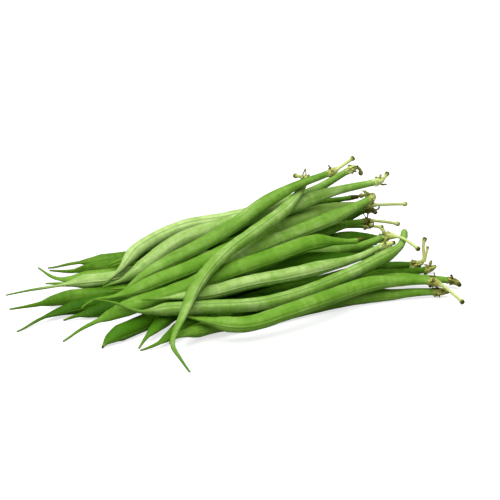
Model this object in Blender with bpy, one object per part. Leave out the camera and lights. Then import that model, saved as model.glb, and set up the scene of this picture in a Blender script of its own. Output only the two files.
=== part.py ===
"""A loose bundle of fresh green beans lying on a table, one solid for each bean, in metres.

Each bean grew as one piece: a cut stalk, the swollen cap that it hangs from, a long neck, the pod
and a thin beak. The bundle lies along X, with the stalks towards +X and the beaks fanned out
towards -X, and it rests on Z = 0.
"""

import math
from typing import NamedTuple

import bmesh
import bpy
import numpy as np

MM = 0.001

# The gap between two beans, in millimetres, and the share of its radius at which a bean's
# middle lies over the table: less than one, so that it rests on a flat spot
CLEARANCE = 0.3
TABLE_SINK = 0.92

# The stalk and its cut end, in millimetres
CUT_RADIUS = 1.0
KNOB_RADIUS = 1.35
KNOB_WIDEST = 1.0
KNOB_END = 2.6
STALK_RADIUS = 0.8
STALK_FLARE = 2.2
SHORT_STALK = 5.0

# The cap, in millimetres, with its top and the neck as shares of the cap's radius
CAP_TOP = 0.8
CAP_WIDEST = 1.6
CAP_END = 3.5
CAP_TOP_SHARE = 0.88
NECK_SHARE = 0.85

# Where the neck and the taper change slope, as shares of their lengths, and how wide they are there
NECK_TURN = 0.5
NECK_SWELL = 0.3
TAPER_TURN = 0.35
TAPER_SHARE = 0.68

# The beak, in millimetres, with the place of its middle as a share of its length
BEAK_RADIUS = 1.25
BEAK_TURN = 0.6
BEAK_TURN_RADIUS = 0.7
TIP_RADIUS = 0.45

# How finely a bean is measured and built
STATIONS = 48
SPAN_STEPS = 16
FINE_STEPS = 8
SIDES = 8
BODY_STEP = 13.0
STALK_STEP = 5.0
SHARP_ANGLE = math.radians(50)

# How the beans are eased apart
ROUNDS = 200
LIST_EVERY = 8
LIST_MARGIN = 3.0
BEND_SPREAD = 12.0
EAGERNESS = 1.4

DEEP_GREEN = (0.045, 0.141, 0.012)
PALE_GREEN = (0.275, 0.450, 0.095)
SKIN_ROUGHNESS = 0.42


class Bean(NamedTuple):
    """One bean: its widest radius, its cap's radius, the lengths of its parts, how pale it is from
    0 to 1, and the points of its route from the stalk's cut end to the tip of the beak. The sizes
    are in millimetres."""

    radius: float
    cap: float
    stalk: float
    neck: float
    taper: float
    beak: float
    paleness: float
    route: tuple


BEANS = {
    # The crest of the heap, which the view from the front shows from end to end
    "bean_top": Bean(3.7, 1.9, 12, 34, 26, 9, 0.5, (
        (68, 12, 62), (63, 13, 58.5), (57, 13, 55.5), (38, 14, 50), (20, 13, 43), (3, 11, 34),
        (-15, 9, 27), (-33, 7, 21), (-51, 2, 15), (-59, -2, 12))),
    "bean_crossing": Bean(3.7, 2.0, 9, 22, 42, 16, 0.6, (
        (43, 31, 49), (46, 28, 49), (47, 23, 50), (31, 9, 41), (10, -2, 35), (-10, -13, 30),
        (-29, -28.5, 23), (-42.5, -47, 16), (-50, -57, 12), (-52, -61, 9), (-50, -66, 5),
        (-47.5, -72, 0))),
    "bean_crest": Bean(3.9, 1.9, 9, 34, 14, 8, 0.9, (
        (78, 26, 47), (77, 25, 51), (72, 23, 52), (51, 26, 41), (28, 28, 34), (5, 29, 31),
        (-19, 28, 30), (-43.5, 24, 22.5), (-53, 19, 15.5), (-62.5, 16.5, 10))),
    "bean_shoulder": Bean(4.1, 1.9, 6, 40, 12, 10, 0.7, (
        (89, 17, 50), (87, 16, 47), (84, 16, 46), (58, 17, 43), (33, 18, 37), (8, 19, 33),
        (-17, 18, 29), (-29, 17.5, 24.5), (-41.5, 14, 18.5), (-52, 11, 14), (-64.5, 10, 11.5))),
    # The middle of the heap
    "bean_middle_long": Bean(4.0, 1.9, 26, 26, 16, 18, 0.4, (
        (107, 32, 25), (99, 29, 27), (89, 26, 29), (63, 23, 32), (37, 18, 29), (11, 11, 25),
        (-14, 2, 21), (-39, -4, 16), (-66, -7, 13), (-74, -6, 13), (-80, -7, 10))),
    "bean_middle_cap": Bean(4.2, 2.3, 9, 22, 16, 10, 0.5, (
        (77, 24, 36), (79, 20, 38), (81, 16, 38), (61, 11, 33), (38, 8, 28), (16, 3, 25),
        (-6, -4, 21), (-27, -8, 13), (-50, -10, 9), (-60, -11, 8))),
    "bean_middle_front": Bean(4.2, 1.5, 4, 18, 15, 20, 0.45, (
        (68, -3, 24), (63, -3, 23), (40, -4, 26), (15, -10, 24), (-10, -14, 21), (-35, -18, 16),
        (-60, -23, 14), (-81, -18, 5), (-87, -18, 2), (-93, -21, 0))),
    "bean_middle_low": Bean(4.0, 1.7, 5, 38, 16, 14, 0.55, (
        (84.5, -3.5, 20), (79.5, -4, 19.5), (62, -8, 16), (41, -13, 16), (21, -17, 16),
        (0, -19, 16), (-21, -24, 16), (-42, -26, 17), (-56, -28, 19))),
    "bean_middle_second": Bean(3.6, 2.0, 19, 24, 14, 8, 0.5, (
        (91.5, -18, 20), (88, -11, 22.5), (85, -4, 22.5), (81.5, 0.5, 21.5), (75, 3, 18.5),
        (65, 5, 16), (42, 7, 16), (18, 5, 13), (-5, 1, 11), (-28, -2, 10), (-52, -1, 9),
        (-60, 0, 9))),
    "bean_middle_shade": Bean(3.7, 1.8, 4, 26, 14, 8, 0.25, (
        (89, 30, 23), (85, 30, 26), (65, 27, 21), (44, 26, 17), (22, 24, 15), (1, 22, 14),
        (-21, 20, 13), (-42, 18, 12), (-50, 18, 11))),
    "bean_dark_cap": Bean(3.8, 1.4, 3, 26, 14, 8, 0.3, (
        (79, 31, 33), (76, 31, 33), (57, 31, 32), (38, 32, 28), (20, 32, 25), (1, 32, 22),
        (-18, 32, 19), (-36, 33, 14), (-44, 34, 11))),
    "bean_long_stalk": Bean(3.6, 1.7, 19, 24, 14, 8, 0.35, (
        (99, 23, 18), (90, 22, 21), (79, 21, 23), (57, 16, 23), (35, 14, 20), (13, 10, 17),
        (-9, 7, 15), (-31, 5, 13), (-53, 4, 12), (-61, 5, 12))),
    "bean_behind_caps": Bean(3.6, 1.9, 6, 22, 14, 8, 0.3, (
        (93, 18, 9), (87, 18, 13), (66, 16, 18), (45, 19, 12), (23, 18, 11), (1, 14, 11),
        (-21, 12, 11), (-44, 9, 11), (-52, 8, 11))),
    "bean_under_middle": Bean(3.9, 2.0, 4, 24, 14, 9, 0.35, (
        (82, -1, 14), (78, -1, 13), (54, -1, 14), (29, -1, 16), (6, -6, 10), (-16, -14, 9),
        (-39, -22, 8), (-57, -36.5, 3.5), (-62, -41, 0.5))),
    # The front and the right, down to the table
    "bean_upright_stalk": Bean(3.8, 2.2, 16, 22, 16, 10, 0.3, (
        (106, 5.5, 16), (103.5, 3.5, 11.5), (104, 0.5, 7.5), (100.5, -1.5, 4.5), (89.5, 3.5, 3.5),
        (74.5, 3.5, 3.5), (47, -3, 3), (21, -8, 3), (-6, -16, 3), (-31, -26, 3), (-52, -43, 3),
        (-61, -43, 0))),
    "bean_right_second": Bean(3.6, 1.9, 4, 24, 14, 8, 0.3, (
        (108, -3, 3), (104, -5, 3), (81, -5, 3), (59, -8, 3), (37, -14, 3), (15, -19, 3),
        (-7, -24, 3), (-28, -33, 5), (-35, -36, 4))),
    "bean_right_third": Bean(3.8, 1.9, 4, 24, 14, 8, 0.35, (
        (109, -30, 3), (108, -26, 4), (89, -19, 5), (68, -17, 6), (48, -18, 8), (28, -24, 7),
        (7, -28, 6), (-14, -32, 5), (-22, -34, 5))),
    "bean_front_hooked": Bean(3.7, 2.0, 2, 16, 12, 24, 0.5, (
        (90, -2.5, 26), (88.5, -5.5, 22), (82.5, -11, 19.5), (68, -17.5, 17), (45, -25, 14),
        (21, -32, 12), (-3, -35, 11), (-27, -33, 13), (-44.5, -29.5, 13), (-52.5, -28.5, 12.5),
        (-57, -28.5, 13), (-61.5, -27, 14.5), (-68.5, -24.5, 18), (-78, -20.5, 19.5))),
    "bean_front_low": Bean(4.3, 2.2, 18, 30, 16, 6, 0.4, (
        (102, -48, 2), (99, -40, 5), (93, -34, 9), (71, -30, 10), (49, -32, 10), (29, -42, 12),
        (8, -48, 11), (-14, -50, 9), (-35, -42, 11), (-40, -40, 13))),
    "bean_front_base": Bean(3.8, 2.1, 4, 30, 16, 6, 0.35, (
        (100.5, -35, 3), (97.5, -34, 3), (82.5, -31, 3.5), (66, -28.5, 3.5), (48.5, -28, 3.5),
        (30, -29.5, 3.5), (11.5, -32, 3.5), (-7, -35, 4), (-26, -39, 6), (-47, -50, 8),
        (-51, -54, 7))),
    # The beaks that fan out on the table to the left
    "bean_left_blunt": Bean(4.4, 2.0, 4, 26, 10, 3, 0.35, (
        (59, 7, 9), (54, 7, 8), (31, 6, 5), (9, 2, 4), (-14, -4, 3), (-36, -12, 3), (-56, -23, 4),
        (-76, -33, 2), (-78, -35, 0))),
    "bean_left_shade": Bean(3.9, 2.0, 5, 26, 12, 8, 0.2, (
        (58, 18, 4), (52, 19, 3), (30, 16, 3), (8, 12, 3), (-14, 8, 3), (-36, 4, 3), (-58, 1, 3),
        (-80, 1, 2.5), (-87, 2, 0.5))),
    "bean_left_reach": Bean(4.1, 2.0, 5, 26, 18, 17, 0.3, (
        (50, 26, 7), (44, 26, 7), (21, 23, 6), (-2, 19, 5), (-26, 15, 4), (-49, 10, 4),
        (-72, 9, 4), (-95, 4, 3), (-111, -3, 0))),
    "bean_left_low": Bean(3.9, 2.0, 5, 26, 16, 16, 0.3, (
        (31, 31, 2), (25, 32, 3), (5, 28, 3), (-16, 25, 3), (-36, 21, 3), (-56, 18, 3),
        (-76, 21, 4), (-96, 17, 4), (-110, 16, 4))),
    "bean_left_long": Bean(3.9, 2.0, 5, 26, 12, 28, 0.5, (
        (58, 31, 12), (52, 31, 12), (30, 32, 11), (8, 30, 11), (-14, 29, 11), (-36, 26, 11),
        (-59, 23, 9), (-72, 26, 8), (-81.5, 29, 7), (-95.5, 34.5, 4.5), (-107, 38, 2))),
    # The far side, down to the table
    "bean_back_low": Bean(3.7, 2.0, 5, 26, 14, 12, 0.4, (
        (27, 36, 3), (21, 38, 3), (3, 36, 3), (-16, 33, 3), (-34, 30, 3), (-53, 31, 3),
        (-70, 36, 3.5), (-87, 36.5, 6))),
    "bean_back_tail": Bean(3.7, 2.0, 5, 26, 14, 16, 0.4, (
        (55, 40, 3), (49, 41, 3), (27, 44, 3), (5, 45, 3), (-17, 43, 3), (-38, 41, 3),
        (-62, 43, 3), (-78, 47, 3), (-85, 60, 5))),
    "bean_back_second": Bean(3.8, 2.0, 5, 26, 14, 14, 0.3, (
        (70, 47, 3), (65, 49, 3), (44, 56, 3), (22, 59, 3), (-1, 58, 3), (-23, 56, 3),
        (-45, 56, 3), (-66, 58, 1), (-78, 65, 0))),
    "bean_back_table": Bean(3.9, 2.0, 5, 26, 12, 17, 0.3, (
        (80, 56, 2), (74, 56, 3), (51, 61, 3), (28, 69, 3), (5, 71, 3), (-18, 65, 3),
        (-41, 57.5, 3), (-65, 64, 3), (-78, 69, 0))),
    "bean_rear_low": Bean(3.8, 2.0, 6, 26, 16, 9, 0.35, (
        (93, 37, 3), (86, 38, 3), (66, 41, 3), (47, 49, 8), (27, 52, 8), (7, 51, 8), (-13, 50, 7),
        (-33, 48, 7), (-42, 47, 6))),
    "bean_rear_middle": Bean(4.0, 2.0, 8, 26, 16, 9, 0.45, (
        (100, 45, 8), (91, 46, 10), (69, 48, 13), (47, 50, 16), (24, 51, 17), (2, 51, 16),
        (-20, 48, 14), (-42, 43, 10), (-51, 40, 9))),
    "bean_rear_high": Bean(3.8, 2.0, 7, 28, 16, 9, 0.4, (
        (92, 44, 23), (84, 45, 22), (62, 47, 22), (40, 45, 23), (18, 45, 23), (-4, 43, 22),
        (-26, 38, 19), (-47, 33, 15), (-56, 31, 14))),
    "bean_rear_under": Bean(3.9, 2.0, 6, 26, 16, 9, 0.35, (
        (100, 24, 5), (93, 25, 4), (71, 30, 5), (50, 37, 9), (29, 40, 15), (7, 42, 15),
        (-16, 41, 13), (-38, 39, 12), (-47, 38, 11))),
}


def clear_scene():
    """Removes every object, so that only the beans are left at the end."""
    for old in list(bpy.data.objects):
        bpy.data.objects.remove(old, do_unlink=True)


def smooth_route(points):
    """The route as close-set points of a smooth curve: each span is a Bezier arc whose handles
    are a third of the span long and lie along the line between the neighbouring points."""
    points = np.array(points, float)
    ends = np.vstack([2 * points[0] - points[1], points, 2 * points[-1] - points[-2]])
    headings = ends[2:] - ends[:-2]
    headings /= np.linalg.norm(headings, axis=1, keepdims=True)
    steps = np.linspace(0.0, 1.0, SPAN_STEPS, endpoint=False)[:, None]
    spans = []
    for start, end, leaving, arriving in zip(points, points[1:], headings, headings[1:]):
        reach = np.linalg.norm(end - start) / 3
        first, second = start + leaving * reach, end - arriving * reach
        spans.append(
            (1 - steps) ** 3 * start
            + 3 * (1 - steps) ** 2 * steps * first
            + 3 * (1 - steps) * steps**2 * second
            + steps**3 * end
        )
    return np.vstack(spans + [points[-1:]])


def even_stations(line):
    """The curve's length, and its points at even distances along it."""
    travelled = np.concatenate([[0.0], np.cumsum(np.linalg.norm(np.diff(line, axis=0), axis=1))])
    wanted = np.linspace(0.0, travelled[-1], STATIONS)
    return travelled[-1], np.stack([np.interp(wanted, travelled, axis) for axis in line.T], axis=1)


def girth(bean, length):
    """The bean's outline as distances from the stalk's cut end, and the radius at each."""
    neck_start = bean.stalk + CAP_END
    neck_radius = NECK_SHARE * bean.cap
    beak_start = length - bean.beak
    outline = [(0.0, CUT_RADIUS)]
    if bean.stalk > SHORT_STALK:
        outline += [
            (KNOB_WIDEST, KNOB_RADIUS),
            (KNOB_END, STALK_RADIUS),
            (bean.stalk - STALK_FLARE, STALK_RADIUS),
        ]
    outline += [
        (bean.stalk - CAP_TOP, CAP_TOP_SHARE * bean.cap),
        (bean.stalk + CAP_WIDEST, bean.cap),
        (neck_start, neck_radius),
        (
            neck_start + NECK_TURN * bean.neck,
            neck_radius + NECK_SWELL * (bean.radius - neck_radius),
        ),
        (neck_start + bean.neck, bean.radius),
        (beak_start - bean.taper, bean.radius),
        (beak_start - TAPER_TURN * bean.taper, TAPER_SHARE * bean.radius),
        (beak_start, BEAK_RADIUS),
        (beak_start + BEAK_TURN * bean.beak, BEAK_TURN_RADIUS),
        (length, TIP_RADIUS),
    ]
    distances, radii = zip(*outline)
    return np.array(distances), np.array(radii)


def widest_near(bean, length):
    """The largest radius within half a step of each station, so that no bulge is missed."""
    fine = np.linspace(0.0, length, FINE_STEPS * (STATIONS - 1) + 1)
    radii = np.interp(fine, *girth(bean, length))
    half = FINE_STEPS // 2
    middles = FINE_STEPS * np.arange(STATIONS)
    return np.array([radii[max(0, middle - half):middle + half + 1].max() for middle in middles])


def bend_spreader():
    """A matrix that spreads a push on one station over its neighbours, as a stiff pod does."""
    bends = np.zeros((STATIONS - 2, STATIONS))
    for row in range(STATIONS - 2):
        bends[row, row:row + 3] = (1.0, -2.0, 1.0)
    return np.linalg.inv(np.eye(STATIONS) + BEND_SPREAD * bends.T @ bends)


def list_neighbours(lines, reach):
    """Pairs of a station on one bean and a segment of another that lie close to each other."""
    beans = len(lines)
    middles = (0.5 * (lines[:, 1:] + lines[:, :-1])).reshape(-1, 3)
    halves = (0.5 * np.linalg.norm(np.diff(lines, axis=1), axis=2)).reshape(-1)
    wide = np.maximum(reach[:, 1:], reach[:, :-1]).reshape(-1)
    points = lines.reshape(-1, 3)
    apart = np.sqrt(((points[:, None] - middles[None]) ** 2).sum(axis=-1))
    limit = reach.reshape(-1)[:, None] + (wide + halves)[None] + LIST_MARGIN
    owner = np.repeat(np.arange(beans), STATIONS)
    segment_owner = np.repeat(np.arange(beans), STATIONS - 1)
    station, segment = np.nonzero((apart < limit) & (owner[:, None] != segment_owner[None]))
    return station, segment + segment_owner[segment]


def contact_push(lines, reach, station, segment):
    """How far each station is pushed by the beans that crowd it, half of each overlap a side."""
    points, widths = lines.reshape(-1, 3), reach.reshape(-1)
    start, along = points[segment], points[segment + 1] - points[segment]
    share = ((points[station] - start) * along).sum(axis=1) / (along * along).sum(axis=1)
    share = np.clip(share, 0.0, 1.0)
    away = points[station] - start - along * share[:, None]
    apart = np.linalg.norm(away, axis=1) + 1e-9
    wanted = widths[station] + widths[segment] * (1 - share) + widths[segment + 1] * share
    short = wanted + CLEARANCE - apart
    hit = short > 0
    station, segment, share = station[hit], segment[hit], share[hit]
    push = away[hit] * (0.5 * short[hit] / apart[hit])[:, None]
    total, count = np.zeros_like(points), np.zeros(len(points))
    for index, sign, weight in (
        (station, 1, np.ones(len(station))), (segment, -1, 1 - share), (segment + 1, -1, share)
    ):
        np.add.at(total, index, sign * push * weight[:, None])
        np.add.at(count, index, weight)
    return (total / np.maximum(count, 1.0)[:, None]).reshape(lines.shape)


def ease_apart(lines, reach):
    """Moves the centre-lines until every two beans are clear of each other and none is lower than
    the table, with each push spread smoothly along its bean."""
    spreader = bend_spreader()
    lowest = TABLE_SINK * reach
    lines = lines.copy()
    for turn in range(ROUNDS):
        if turn % LIST_EVERY == 0:
            station, segment = list_neighbours(lines, reach)
        push = contact_push(lines, reach, station, segment)
        lines += EAGERNESS * np.einsum("ij,bjk->bik", spreader, push)
        lines[..., 2] = np.maximum(lines[..., 2], lowest)
    return lines


def ring_distances(bean, length):
    """Where the bean's rings stand: at each change of its outline, and in even steps between."""
    corners, _ = girth(bean, length)
    places = [corners[0]]
    for start, end in zip(corners, corners[1:]):
        step = STALK_STEP if end < bean.stalk else BODY_STEP
        parts = max(1, math.ceil((end - start) / step))
        places += list(np.linspace(start, end, parts + 1)[1:])
    return np.array(places)


def turned_frames(centres):
    """Two directions across the line at each ring, turned as little as possible from one ring to
    the next. They start level and upright at the middle, so a bean lies on a flat side."""
    headings = np.gradient(centres, axis=0)
    headings /= np.linalg.norm(headings, axis=1, keepdims=True)
    ups = np.zeros_like(centres)
    middle = len(centres) // 2
    ups[middle] = (0.0, 0.0, 1.0)
    order = [(middle, middle)]
    order += [(i, i - 1) for i in range(middle + 1, len(centres))]
    order += [(i, i + 1) for i in range(middle - 1, -1, -1)]
    for ring, before in order:
        up = ups[before] - headings[ring] * (ups[before] @ headings[ring])
        ups[ring] = up / np.linalg.norm(up)
    return np.cross(headings, ups), ups


def bean_mesh(name, bean, length, line):
    """A closed mesh of eight-sided rings along the line, flattened where it lies on the table."""
    places = ring_distances(bean, length)
    radii = np.interp(places, *girth(bean, length))
    measured = np.linspace(0.0, length, STATIONS)
    centres = np.stack([np.interp(places, measured, axis) for axis in line.T], axis=1)
    sides, ups = turned_frames(centres)
    shape = bmesh.new()
    rings = []
    for centre, radius, side, up in zip(centres, radii, sides, ups):
        ring = []
        for corner in range(SIDES):
            angle = (corner + 0.5) * math.tau / SIDES
            point = centre + radius * (math.cos(angle) * side + math.sin(angle) * up)
            point[2] = max(point[2], 0.0)
            ring.append(shape.verts.new(point * MM))
        rings.append(ring)
    for lower, upper in zip(rings, rings[1:]):
        for corner in range(SIDES):
            after = (corner + 1) % SIDES
            shape.faces.new((lower[corner], lower[after], upper[after], upper[corner]))
    shape.faces.new(rings[0])
    shape.faces.new(rings[-1])
    bmesh.ops.recalc_face_normals(shape, faces=shape.faces)
    mesh = bpy.data.meshes.new(name)
    shape.to_mesh(mesh)
    shape.free()
    mesh.shade_smooth()
    mesh.set_sharp_from_angle(angle=SHARP_ANGLE)
    return mesh


def skin(name, paleness):
    """The pod's waxy green skin, between the deep and the pale green."""
    material = bpy.data.materials.new(name + "_skin")
    material.use_nodes = True
    shader = material.node_tree.nodes["Principled BSDF"]
    colour = [deep + (pale - deep) * paleness for deep, pale in zip(DEEP_GREEN, PALE_GREEN)]
    shader.inputs["Base Color"].default_value = (*colour, 1.0)
    shader.inputs["Roughness"].default_value = SKIN_ROUGHNESS
    shader.inputs["Metallic"].default_value = 0.0
    return material


def main():
    """Lays out the bundle, eases its beans apart and makes one object for each."""
    clear_scene()
    measured = [even_stations(smooth_route(bean.route)) for bean in BEANS.values()]
    lengths = [length for length, _ in measured]
    reach = np.array([widest_near(bean, length) for bean, length in zip(BEANS.values(), lengths)])
    lines = ease_apart(np.array([stations for _, stations in measured]), reach)
    for (name, bean), length, line in zip(BEANS.items(), lengths, lines):
        mesh = bean_mesh(name, bean, length, line)
        mesh.materials.append(skin(name, bean.paleness))
        bpy.context.scene.collection.objects.link(bpy.data.objects.new(name, mesh))


main()
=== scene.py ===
"""The finished look of a loose bundle of fresh green beans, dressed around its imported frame.

Each bean's plain solid is replaced by a detailed one that lies along the same line: a cut stalk
with a flared end, a ragged cap with dried leaflets, a slender neck, a pod that swells over its
seeds, two seams and a flattened end that runs out into a thin beak. The bundle lies along X, with
the stalks towards +X, and it rests on Z = 0.
"""

import logging
import math
import random
from dataclasses import dataclass, field
from enum import Enum, IntEnum
from functools import partial
from typing import Any, Callable
import bmesh
import bpy
import numpy as np
from mathutils import Matrix, Vector


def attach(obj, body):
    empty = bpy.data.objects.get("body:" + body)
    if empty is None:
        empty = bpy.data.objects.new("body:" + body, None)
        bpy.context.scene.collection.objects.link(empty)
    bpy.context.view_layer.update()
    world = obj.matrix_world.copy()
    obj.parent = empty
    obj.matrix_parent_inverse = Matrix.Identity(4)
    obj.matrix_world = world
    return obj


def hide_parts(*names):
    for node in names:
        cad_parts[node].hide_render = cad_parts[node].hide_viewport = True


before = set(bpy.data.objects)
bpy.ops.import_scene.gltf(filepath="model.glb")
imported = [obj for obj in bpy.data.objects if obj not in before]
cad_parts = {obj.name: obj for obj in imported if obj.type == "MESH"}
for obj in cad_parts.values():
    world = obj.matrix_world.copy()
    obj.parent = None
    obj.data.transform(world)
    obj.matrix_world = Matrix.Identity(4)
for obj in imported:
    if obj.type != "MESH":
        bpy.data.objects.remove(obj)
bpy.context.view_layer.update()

MM = 0.001
CLOSE = 0.01 * MM
PALE_FROM = 0.5
GREEN_FROM = 0.35
LOG = logging.getLogger("green_beans")

Colour = tuple[float, float, float]
Place = tuple[float, float, float]
Span = tuple[float, float]


class Slot(Enum):
    """The depths of green, by the name of the slot that each takes its finish from."""

    PALE = "pale_skin"
    GREEN = "green_skin"
    DEEP = "deep_skin"


class Mark(IntEnum):
    """Where one part of a bean passes into the next, in order from its stalk's cut end."""

    CUT = 0
    KNOB = 1
    FOOT = 2
    STALK_END = 3
    CAP = 4
    LIP = 5
    NECK = 6
    POD = 7
    TAPER = 8
    BEAK = 9
    BEAK_MIDDLE = 10
    TIP = 11


class TrimKind(Enum):
    """What may grow at a bean's cap."""

    LEAFLET = "leaflet"
    LOBE = "lobe"
    CURL = "curl"
    STUB = "stub"


@dataclass(frozen=True)
class Trim:
    """A small leaf, a lobe, a dried curl, or a straight bit of stalk or thread at a cap.

    The turn is where it grows round the bean, in degrees: 0 at the front, 90 on top. The lean is
    0 towards the beak, 90 straight out and 180 towards the stalk. The length is in millimetres,
    the dryness goes from 0, fresh, to 1, brown, and the shift is how far its root lies beyond the
    cap's top, in millimetres.
    """

    kind: TrimKind
    turn: float
    lean: float
    length: float
    dryness: float
    shift: float = 0.9


leaflet = partial(Trim, TrimKind.LEAFLET)
curl = partial(Trim, TrimKind.CURL)
stub = partial(Trim, TrimKind.STUB)


@dataclass(frozen=True)
class Bean:
    """One bean, in millimetres and degrees.

    The first eight values are its widest radius, its cap's radius, the lengths of its stalk,
    neck, taper and beak, how pale it is from 0 to 1, and its route from the stalk's cut end to
    the tip of the beak. The others are its looks: where its seams lie and how far they wind along
    it, how flat its end is, how dry its cap and its stalk are, what grows at the cap, how much
    deeper its green is at the neck, how deep its seams are, how much lighter or darker it is than
    its paleness says, the share of the way from its cut end, by its marks, where its green skin
    starts, and how dry its tip is. The green at the neck and the lightness are partly the bean's
    own colour and partly painted light: painted shade on beans that lie in shade under the heap,
    and lighter paint where the beans above shade a bean.
    """

    radius: float
    cap: float
    stalk: float
    neck: float
    taper: float
    beak: float
    paleness: float
    route: tuple[Place, ...]
    roll: float = 20.0
    twist: float = 40.0
    flatness: float = 0.3
    cap_dryness: float = 0.4
    stalk_dryness: float = 0.2
    trim: tuple[Trim, ...] = ()
    # Deeper or lighter green towards the stalk: partly the neck's own colour, partly painted light
    # where the beans above cast shade on it
    neck_tone_and_shade: float = 0.0
    crease: float = 1.0
    # Lighter or darker than the paleness says: partly the bean's own colour, partly painted shade
    # on the beans that lie in shade under the heap
    tone: float = 0.0
    skin_from: float = 0.453
    tip_dryness: float = 0.0

    @property
    def slot(self) -> Slot:
        """The slot that the bean's paleness puts it in."""
        if self.paleness >= PALE_FROM:
            return Slot.PALE
        return Slot.GREEN if self.paleness >= GREEN_FROM else Slot.DEEP


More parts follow.
